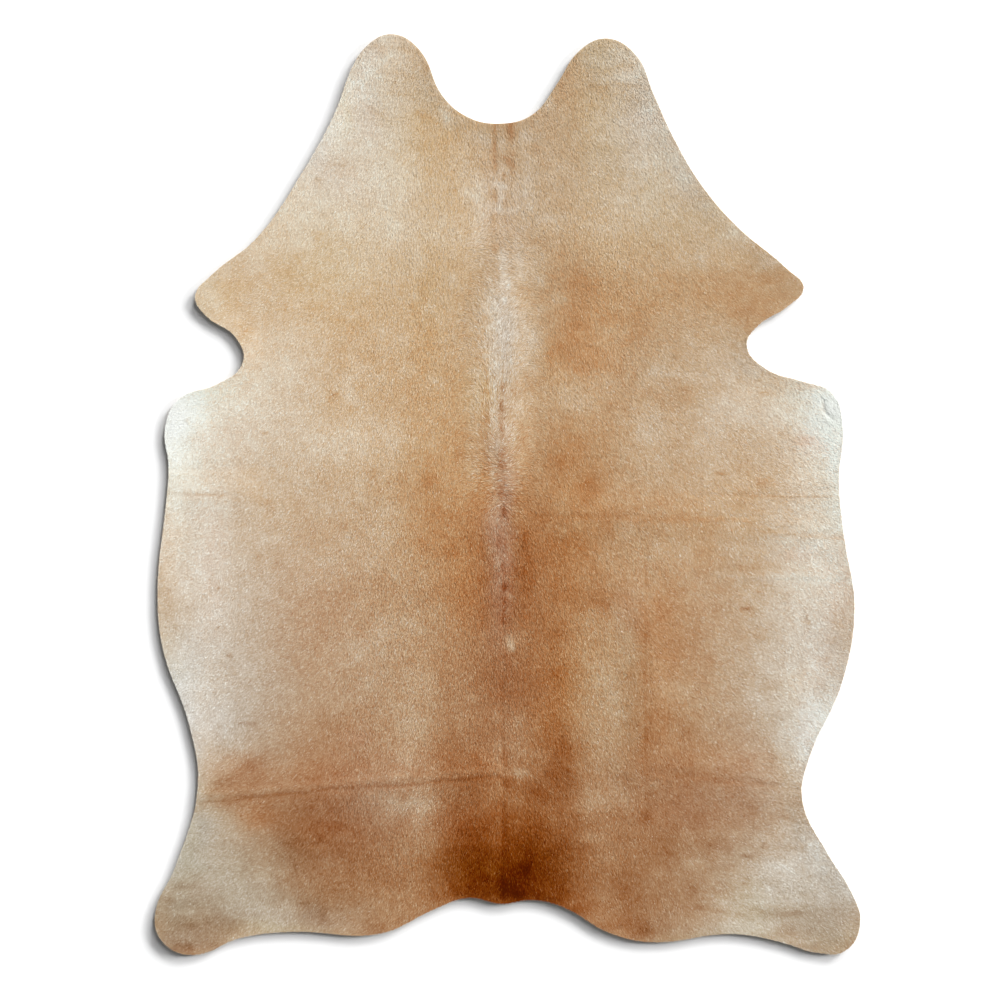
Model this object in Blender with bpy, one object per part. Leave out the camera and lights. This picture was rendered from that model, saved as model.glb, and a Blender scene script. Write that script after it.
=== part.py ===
"""Hair-on cowhide, lying flat with its hair side up.

X runs across the hide, Y runs along the spine towards the neck and Z is up.  The origin is on
the floor, under the middle of the hide's own box.  The tables are in millimetres.
"""
from math import hypot

import bmesh
import bpy
from mathutils import Vector

MM = 0.001

# ---------------------------------------------------------------------------------------------
# Driving sizes of the skin, with its short hair lying flat on it
SPINE_ACROSS = -18      # the spine runs along the hide at this place
THICK_AT_SPINE = 8      # thick butt and back
THICK_AT_FLANK = 5      # thin belly edges
FLANK_FROM_SPINE = 800  # the skin is at its thinnest this far from the spine
SPINE_GROOVE = (1.2, 30)  # depth and half width of the soft furrow along the spine

CURVE_STEPS = 5         # short straight runs between two points of the cut edge
STRIP_WIDTH = 28        # the skin is divided into strips this wide, to carry its relief
SNAP = 3                # a strip's edge uses a corner of the cut edge that is this close

# The cut edge, seen from above and going clockwise from the neck: (across, along)
CUT_EDGE = {
    "neck notch": [(-25, 870), (55, 890)],
    "right neck lobe": [(115, 965), (165, 1040), (230, 1070), (300, 1030)],
    "right neck side": [(338, 945), (393, 825), (457, 720), (538, 627)],
    "right foreleg": [(655, 528), (692, 485), (655, 442)],
    "right armpit": [(583, 395), (558, 350), (603, 295)],
    "right shoulder": [(690, 265), (758, 240), (783, 175), (775, 30)],
    "right belly": [(788, -105), (812, -265), (778, -455)],
    "right waist": [(708, -610), (688, -715)],
    "right hind leg": [(747, -840), (805, -935), (825, -1005), (790, -1070), (725, -1075)],
    "right hind edge": [(640, -1050), (525, -1030), (335, -1050), (230, -1025)],
    "tail": [(135, -970), (55, -950), (-15, -960), (-95, -945)],
    "left hind edge": [(-180, -975), (-300, -1030), (-505, -1025), (-630, -1040)],
    "left hind leg": [(-740, -1080), (-805, -1055), (-830, -995)],
    "left waist": [(-780, -870), (-728, -685)],
    "left belly": [(-750, -535), (-810, -365), (-823, -225), (-803, -20)],
    "left shoulder": [(-797, 65), (-805, 160), (-772, 225), (-680, 260)],
    "left armpit": [(-622, 310), (-640, 370)],
    "left foreleg": [(-710, 420), (-735, 465), (-700, 512)],
    "left neck side": [(-592, 600), (-490, 745), (-405, 900), (-370, 995)],
    "left neck lobe": [(-335, 1050), (-275, 1080), (-210, 1045)],
    "left of neck notch": [(-155, 935), (-95, 885)],
}

# Soft ridges where the hide was once folded: name, from, to, half width, height
FOLDS = [
    ("rump, left", (-725, -725), (-65, -665), 70, 5.0),
    ("rump, right", (300, -640), (690, -685), 75, 4.0),
    ("waist, left", (-800, 0), (-620, 0), 55, 3.5),
    ("waist, right", (500, 0), (785, 5), 55, 3.0),
    ("back, right", (150, -50), (560, -60), 65, 4.0),
    ("flank, right", (600, -70), (800, -110), 55, 3.5),
    ("loin, right", (325, -270), (325, -630), 60, 3.5),
    ("thigh, left", (-500, -820), (-370, -820), 50, 2.5),
    ("shoulder curl", (735, 225), (765, 170), 40, 3.5),
]

# Places where the edge doesn't quite lie down: name, middle, reach, height
LIFTS = [
    ("left neck lobe", (-290, 1090), 200, 7.0),
    ("right neck lobe", (245, 1085), 180, 6.0),
    ("left foreleg", (-760, 465), 150, 7.0),
    ("right foreleg", (715, 485), 140, 6.0),
    ("left shoulder", (-830, 190), 150, 5.0),
    ("right shoulder", (805, 200), 140, 5.0),
    ("left hind leg", (-840, -1080), 220, 8.0),
    ("right hind leg", (840, -1080), 210, 7.0),
    ("left belly", (-850, -270), 170, 4.0),
    ("right belly", (850, -300), 170, 4.0),
]


# ---------------------------------------------------------------------------------------------
def fade(distance, reach):
    """One at no distance, falling smoothly to nothing at the reach."""
    share = min(distance / reach, 1.0)
    return (1 - share * share) ** 2


def distance_to_run(across, along, start, end):
    """Distance from a place to the straight run between two places."""
    run = (end[0] - start[0], end[1] - start[1])
    along_run = (across - start[0]) * run[0] + (along - start[1]) * run[1]
    share = min(max(along_run / (run[0] ** 2 + run[1] ** 2), 0.0), 1.0)
    return hypot(across - start[0] - share * run[0], along - start[1] - share * run[1])


def floor_gap(across, along):
    """How far the skin's underside stands off the floor at a place."""
    folds = max(height * fade(distance_to_run(across, along, start, end), half_width)
                for _, start, end, half_width, height in FOLDS)
    lifts = max(height * fade(hypot(across - middle[0], along - middle[1]), reach)
                for _, middle, reach, height in LIFTS)
    return max(folds, lifts)


def thickness(across):
    """Skin and lying hair together, thinner towards the flanks, with the spine's furrow."""
    from_spine = abs(across - SPINE_ACROSS)
    share = min(from_spine / FLANK_FROM_SPINE, 1.0)
    depth, half_width = SPINE_GROOVE
    plain = THICK_AT_SPINE + (THICK_AT_FLANK - THICK_AT_SPINE) * share
    return plain - depth * fade(from_spine, half_width)


# ---------------------------------------------------------------------------------------------
def cut_edge_mesh():
    """The cut edge as a closed loop of short straight runs, from a smooth curve."""
    places = [place for stretch in CUT_EDGE.values() for place in stretch]
    curve = bpy.data.curves.new("cut edge", "CURVE")
    curve.dimensions = "2D"
    curve.fill_mode = "NONE"
    curve.resolution_u = CURVE_STEPS
    spline = curve.splines.new("BEZIER")
    spline.bezier_points.add(len(places) - 1)
    for point, (across, along) in zip(spline.bezier_points, places):
        point.co = Vector((across, along, 0)) * MM
        point.handle_left_type = "AUTO"
        point.handle_right_type = "AUTO"
    spline.use_cyclic_u = True
    guide = bpy.data.objects.new("cut edge", curve)
    bpy.context.collection.objects.link(guide)
    bpy.context.view_layer.update()
    drawn = guide.evaluated_get(bpy.context.evaluated_depsgraph_get())
    loop = bpy.data.meshes.new_from_object(drawn)
    bpy.data.objects.remove(guide, do_unlink=True)
    return loop


def divide(skin, direction, lowest, highest):
    """Cut the flat skin into strips of even width along one direction."""
    strips = round((highest - lowest) / (STRIP_WIDTH * MM))
    for number in range(1, strips):
        place = lowest + (highest - lowest) * number / strips
        bmesh.ops.bisect_plane(
            skin,
            geom=skin.verts[:] + skin.edges[:] + skin.faces[:],
            dist=SNAP * MM,
            plane_co=direction * place,
            plane_no=direction,
        )


def make_hide():
    """The whole skin: cut out, divided, thickened and given its folds and lifted edges."""
    skin = bmesh.new()
    skin.from_mesh(cut_edge_mesh())
    bmesh.ops.contextual_create(skin, geom=skin.edges[:])
    acrosses = [corner.co.x for corner in skin.verts]
    alongs = [corner.co.y for corner in skin.verts]
    middle = Vector((min(acrosses) + max(acrosses), min(alongs) + max(alongs), 0)) / 2
    bmesh.ops.translate(skin, vec=-middle, verts=skin.verts[:])
    divide(skin, Vector((1, 0, 0)), min(acrosses) - middle.x, max(acrosses) - middle.x)
    divide(skin, Vector((0, 1, 0)), min(alongs) - middle.y, max(alongs) - middle.y)

    raised = bmesh.ops.extrude_face_region(skin, geom=skin.faces[:])["geom"]
    hair_side = {item for item in raised if isinstance(item, bmesh.types.BMVert)}
    for corner in skin.verts:
        across = corner.co.x / MM
        along = corner.co.y / MM
        corner.co.z = floor_gap(across, along) * MM
        if corner in hair_side:
            corner.co.z += thickness(across) * MM
    bmesh.ops.recalc_face_normals(skin, faces=skin.faces[:])

    mesh = bpy.data.meshes.new("hide")
    skin.to_mesh(mesh)
    skin.free()
    return mesh


def cowhide_material():
    """Short tan hair: matt, with a soft sheen."""
    material = bpy.data.materials.new("cowhide hair")
    material.use_nodes = True
    shader = material.node_tree.nodes["Principled BSDF"]
    shader.inputs["Base Color"].default_value = (0.62, 0.42, 0.24, 1)
    shader.inputs["Roughness"].default_value = 0.75
    shader.inputs["Metallic"].default_value = 0.0
    return material


# ---------------------------------------------------------------------------------------------
for thing in list(bpy.data.objects):
    bpy.data.objects.remove(thing, do_unlink=True)

hide = bpy.data.objects.new("hide", make_hide())
bpy.context.collection.objects.link(hide)
hide.data.materials.append(cowhide_material())
hide.data.shade_smooth()
hide.data.set_sharp_from_angle(angle=0.6)
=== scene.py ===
from math import cos, radians, sin

import bmesh
import bpy
import numpy as np
from mathutils import Matrix, Vector
from mathutils.bvhtree import BVHTree
from mathutils.kdtree import KDTree


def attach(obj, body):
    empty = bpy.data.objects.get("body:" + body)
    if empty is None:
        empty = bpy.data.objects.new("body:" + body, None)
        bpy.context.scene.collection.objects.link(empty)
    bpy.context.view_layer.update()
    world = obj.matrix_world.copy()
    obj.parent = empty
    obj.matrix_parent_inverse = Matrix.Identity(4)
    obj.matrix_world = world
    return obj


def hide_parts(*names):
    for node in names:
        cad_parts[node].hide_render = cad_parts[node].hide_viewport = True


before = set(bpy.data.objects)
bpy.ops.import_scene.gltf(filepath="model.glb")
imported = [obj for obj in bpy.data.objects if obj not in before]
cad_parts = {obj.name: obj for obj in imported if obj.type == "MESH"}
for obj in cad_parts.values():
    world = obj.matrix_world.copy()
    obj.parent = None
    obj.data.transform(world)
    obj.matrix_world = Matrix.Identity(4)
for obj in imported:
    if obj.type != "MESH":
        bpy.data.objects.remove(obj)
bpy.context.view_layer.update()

MM = 0.001

# ---------------------------------------------------------------------------------------------
# The skin: one whole cattle hide, tanned soft with its hair on and trimmed to the animal's
# outline.  It is about 2 mm thick and lies loose on the floor, hair side up, with the soft
# ridges of old folds and with tips that don't quite lie down.
# Places are in millimetres from the middle of the hide: across to the right, along to the neck.

SPINE_ACROSS = -18      # the spine runs along the hide at this place
SKIN_AT_SPINE = 5.4     # tanned skin with its underfur, thickest along the back
SKIN_AT_FLANK = 3.8     # and thin at the belly edges
FLANK_FROM_SPINE = 800  # it is thinnest this far from the spine
RIM_CURL = 4.2          # the dry cut edge stands this far off the floor
RIM_WIDTH = 45          # and comes down to it over this width
SKIN_REACH = (840, 1090)  # it lies within this distance of the middle, across and along
SKIN_STRIP = 10         # it is divided into squares of this size
STRIP_SNAP = 0.8        # a division uses a corner that is this close
SKIN_SOFTENING = 12     # rounds of smoothing that take the facets out of the folds
RIM_CUTS = 2            # places added between two corners of the cut edge
RIM_SOFTENING = 3       # rounds of smoothing that take the corners out of it

# Creases left by folding: name, from, to, half width, height.  A minus is a trough.
CREASES = [
    ("rump, left trough", (-728, -723), (-480, -699), 9, -0.5),
    ("rump, left trough, inner", (-480, -699), (-20, -661), 9, -0.35),
    ("rump, left ridge", (-728, -705), (-20, -645), 14, 0.65),
    ("rump, right trough", (330, -646), (690, -690), 11, -0.75),
    ("waist, left", (-800, 3), (-640, -4), 9, -0.5),
    ("waist, left, high", (-790, 62), (-560, 66), 12, -0.5),
    ("waist, right", (430, -2), (790, 8), 9, -0.6),
    ("back, right", (60, -52), (590, -53), 10, -0.45),
    ("flank, right, upper", (590, -72), (830, -104), 11, -0.6),
    ("flank, right, lower", (560, -190), (810, -188), 16, 0.9),
    ("loin, right", (325, -150), (326, -740), 11, -0.5),
    ("thigh, left", (-490, -820), (-360, -824), 10, -0.35),
    ("shoulder curl", (739, 217), (744, 195), 7, -1.6),
    ("shoulder curl, low", (744, 195), (768, 175), 7, -1.4),
    ("spine, neck", (-29, 870), (-27, 745), 8, -0.4),
    ("spine, back", (-10, -250), (-8, -950), 9, -0.25),
]


def fade(distance, reach):
    """One at no distance, falling smoothly to nothing at the reach."""
    share = np.clip(distance / reach, 0, 1)
    return (1 - share * share) ** 2


def distance_to_run(across, along, start, end):
    """Distance from some places to the straight run between two places."""
    run_across = end[0] - start[0]
    run_along = end[1] - start[1]
    share = (across - start[0]) * run_across + (along - start[1]) * run_along
    share = np.clip(share / max(run_across ** 2 + run_along ** 2, 1), 0, 1)
    return np.hypot(across - start[0] - share * run_across, along - start[1] - share * run_along)


def crease_height(across, along):
    """What the creases add to the height of the skin at some places."""
    height = np.zeros(across.shape)
    for _, start, end, half_width, rise in CREASES:
        height += rise * fade(distance_to_run(across, along, start, end), half_width)
    return height


def thinning(across, at_spine, at_flank):
    """A measure that changes evenly from the spine to the flanks."""
    share = np.minimum(np.abs(across - SPINE_ACROSS) / FLANK_FROM_SPINE, 1)
    return at_spine + (at_flank - at_spine) * share


# The coat's colour runs from white to near black brown, one step of depth apart.
SHADES = {
    "white": "F1F4EE", "milk": "E6E0D1", "cream": "D9CAB7", "sand": "CBB598", "fawn": "BF9F7D",
    "tan": "B18965", "cinnamon": "A3744F", "russet": "945E37", "chestnut": "82491F",
    "umber": "6F360D", "bark": "581F03", "peat": "481800",
}
PLAIN_DEPTH = 3.01      # near sand, where nothing below changes it
PLAIN_RICHNESS = 1.12   # how much more golden the whole coat is than its shades
LUMA = (0.299, 0.587, 0.114)      # how bright red, green and blue look
ROSY = (0.3, -0.4, 0.3)           # what a full step of rosiness adds to them
EYE = 2.2               # shades are mixed as the eye sees them, with this exponent

# How unevenly nature lays these colours: the size of a cloud in millimetres, how strong it is
# and which one of many like it
MOTTLING = [(60, 0.22, 7), (24, 0.26, 8), (9, 0.16, 9)]     # strength in steps of depth
WANDER = [(95, 18, 3), (34, 9, 5)]                          # strength in millimetres, across
DRIFT = [(95, 18, 4), (34, 9, 6)]                           # and along
UNEVEN_MARK = (21, 0.4, 12)                                 # strength as a share of the mark

# Soft oval patches of the coat, by region of the hide: across, along, half width, half length,
# turn in degrees, how much deeper (minus is paler)
PATCHES = {
    "broad fields": [
        (0, -680, 580, 460, 0, 2.0), (0, -60, 240, 330, 0, 1.2), (10, -400, 110, 330, 0, 1.3),
        (0, -960, 330, 130, 0, 1.2), (-830, -260, 230, 460, 0, -2.4),
        (850, -260, 240, 480, 0, -2.5), (-800, 0, 480, 900, 0, 0.2), (600, 0, 480, 1000, 0, -0.25),
        (350, 860, 100, 200, 0, -0.15), (530, 650, 80, 90, 0, -0.25),
        (-150, -750, 330, 300, 0, 0.2), (330, -920, 130, 110, 0, 0.28),
        (30, -870, 100, 90, 0, 0.25),
        (-800, -250, 70, 260, 0, 0.28), (-740, -560, 60, 130, 0, 0.25), (785, 210, 60, 60, 0, -0.5),
        (610, 570, 60, 40, 0, -0.25),
        (-720, 245, 60, 40, 0, -0.3), (600, -480, 150, 150, 0, 0.15), (20, 330, 40, 140, 0, -0.25),
    ],
    "neck": [
        (-450, 840, 130, 220, 25, -1.9), (-300, 700, 150, 170, 0, -0.7),
        (-420, 770, 70, 50, 20, 0.8), (-560, 650, 110, 90, 30, -0.9),
        (340, 900, 90, 160, 15, -0.7), (0, 820, 120, 110, 0, 0.8), (-60, 700, 90, 90, 0, -0.4),
        (150, 975, 45, 50, 0, 0.6), (-290, 1010, 60, 90, 0, -0.6), (-310, 980, 90, 90, 0, -0.8),
        (-60, 845, 50, 35, 0, -0.9), (-110, 770, 70, 60, 0, -0.5), (-240, 820, 60, 80, 0, -0.45),
        (-385, 730, 60, 90, 0, 0.4), (-200, 640, 80, 110, 0, -0.45), (-100, 600, 80, 50, 0, -0.4),
        (240, 1030, 80, 40, 0, -0.6), (60, 845, 40, 30, 0, -0.7), (350, 740, 100, 80, 0, -0.7),
        (270, 660, 70, 50, 0, -0.4), (510, 630, 50, 50, 0, -0.4),
    ],
    "shoulders": [
        (-620, 420, 230, 180, 0, -1.0), (250, 430, 200, 140, 0, 0.9), (150, 500, 60, 90, 0, 0.5),
        (600, 480, 140, 80, 0, 0.9), (-810, 160, 130, 130, 0, -2.4),
        (790, 190, 120, 120, 0, -2.2), (-600, 225, 130, 90, 0, -0.9), (560, 225, 110, 60, 0, -0.5),
        (165, 370, 55, 100, 0, 0.4), (340, 260, 60, 50, 0, -0.3), (390, 235, 40, 30, 0, 0.5),
        (-660, 480, 50, 40, 0, 0.7), (-540, 545, 50, 40, 0, 0.6), (-520, 430, 150, 60, 0, 0.3),
        (-310, 350, 60, 50, 0, -0.4), (-540, 295, 60, 40, 0, -0.4), (-360, 290, 50, 50, 0, -0.35),
        (-720, 235, 50, 40, 0, -0.4), (590, 420, 60, 35, 0, 0.8),
        (160, 240, 50, 40, 0, -0.6), (330, 245, 100, 35, 0, 0.5),
    ],
    "back and flanks": [
        (-410, 130, 150, 70, 0, -0.8), (180, 80, 90, 110, 0, 0.7), (130, -110, 130, 110, 0, 0.7),
        (480, -50, 200, 130, 0, 0.5), (400, -340, 120, 110, 0, 0.6), (-225, -490, 70, 70, 0, -0.5),
        (-450, -280, 110, 70, 0, 0.5), (-640, -420, 90, 170, 0, 0.4), (190, -240, 70, 50, 0, 0.6),
        (520, 180, 120, 50, 0, -0.3),
        (-720, -540, 110, 120, 0, -1.3), (730, -560, 110, 120, 0, -1.2),
        (-810, -290, 70, 120, 0, 0.9), (850, -360, 75, 150, 0, 1.9),
        (-350, 150, 110, 100, 0, -0.4), (-420, 50, 90, 60, 0, -0.3),
        (-290, -90, 60, 70, 0, -0.5), (-800, -240, 50, 180, 0, 0.7), (-90, -190, 50, 80, 0, 0.35),
        (-290, -350, 80, 90, 0, -0.6), (-190, -430, 60, 60, 0, -0.5), (-510, -390, 50, 50, 0, 0.5),
        (-730, -520, 50, 80, 0, 0.9), (-240, -540, 50, 60, 0, -0.6),
        (480, 110, 60, 40, 0, -0.4), (660, 90, 80, 70, 0, 0.6), (720, 0, 50, 40, 0, 0.5),
        (245, -50, 45, 35, 0, 0.5), (490, 20, 60, 50, 0, -0.3), (390, -55, 50, 30, 0, 0.3),
        (360, -130, 80, 35, 0, -0.35), (680, -120, 60, 40, 0, -0.3), (565, -190, 60, 40, 0, 0.45),
        (785, -300, 45, 150, 0, 0.75), (360, -270, 45, 60, 0, 0.5), (710, -310, 60, 70, 0, 0.4),
        (120, -430, 40, 50, 0, 0.45), (550, -560, 70, 60, 0, 0.5),
    ],
    "rump": [
        (10, -800, 170, 150, 0, 1.85), (15, -900, 140, 80, 0, 2.3), (335, -560, 45, 150, 0, 0.6),
        (450, -640, 120, 50, 0, 0.4), (125, -600, 45, 130, 0, 0.5), (-150, -680, 60, 120, 0, 0.4),
        (-220, -700, 60, 130, 0, -0.9), (225, -600, 60, 220, 0, -0.8), (5, -610, 55, 90, 0, -1.0),
        (0, -540, 40, 40, 0, -0.5), (-240, -725, 90, 35, 0, -0.8), (-90, -905, 60, 40, 0, 0.6),
        (50, -590, 35, 50, 0, -0.6), (125, -640, 35, 60, 0, 0.65), (210, -720, 60, 35, 0, -0.7),
        (180, -960, 50, 30, 0, 0.8), (-100, -835, 65, 60, 0, 0.7), (-22, -800, 14, 70, 0, -0.6),
        (217, -729, 50, 26, 0, -0.6), (-217, -728, 45, 24, 0, -0.6), (130, -612, 30, 60, 0, 0.5),
        (-190, -770, 40, 60, 0, -0.9), (-35, -915, 120, 25, 0, 1.0), (-15, -735, 60, 35, 0, -0.7),
    ],
    "thighs and hind legs": [
        (-440, -790, 150, 110, 0, 1.5), (-640, -670, 110, 80, 0, 1.8),
        (470, -740, 230, 120, 0, 1.1), (-430, -620, 90, 80, 0, 0.5),
        (-720, -860, 130, 100, 0, -0.3), (-770, -1030, 100, 110, 0, 1.9),
        (-400, -900, 150, 100, 0, 0.7), (-500, -800, 90, 60, 0, 0.6), (300, -960, 90, 70, 0, 1.2),
        (400, -860, 110, 70, 0, 0.4), (660, -880, 150, 100, 0, -1.2), (790, -1020, 90, 90, 0, 0.9),
        (-500, -710, 130, 100, 0, 0.6), (-600, -845, 140, 40, 0, 0.7),
        (-750, -960, 70, 60, 0, 0.7), (-440, -960, 60, 60, 0, 0.7), (-300, -1015, 50, 30, 0, 0.7),
        (-550, -955, 45, 35, 0, -0.5), (-690, -1020, 60, 40, 0, 0.6), (370, -835, 50, 40, 0, 0.4),
        (540, -845, 110, 35, 0, 0.45), (320, -1025, 60, 30, 0, 1.2), (545, -1010, 50, 40, 0, -0.9),
        (780, -910, 50, 50, 0, -0.5), (640, -965, 60, 30, 0, -0.35),
    ],
}

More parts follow.
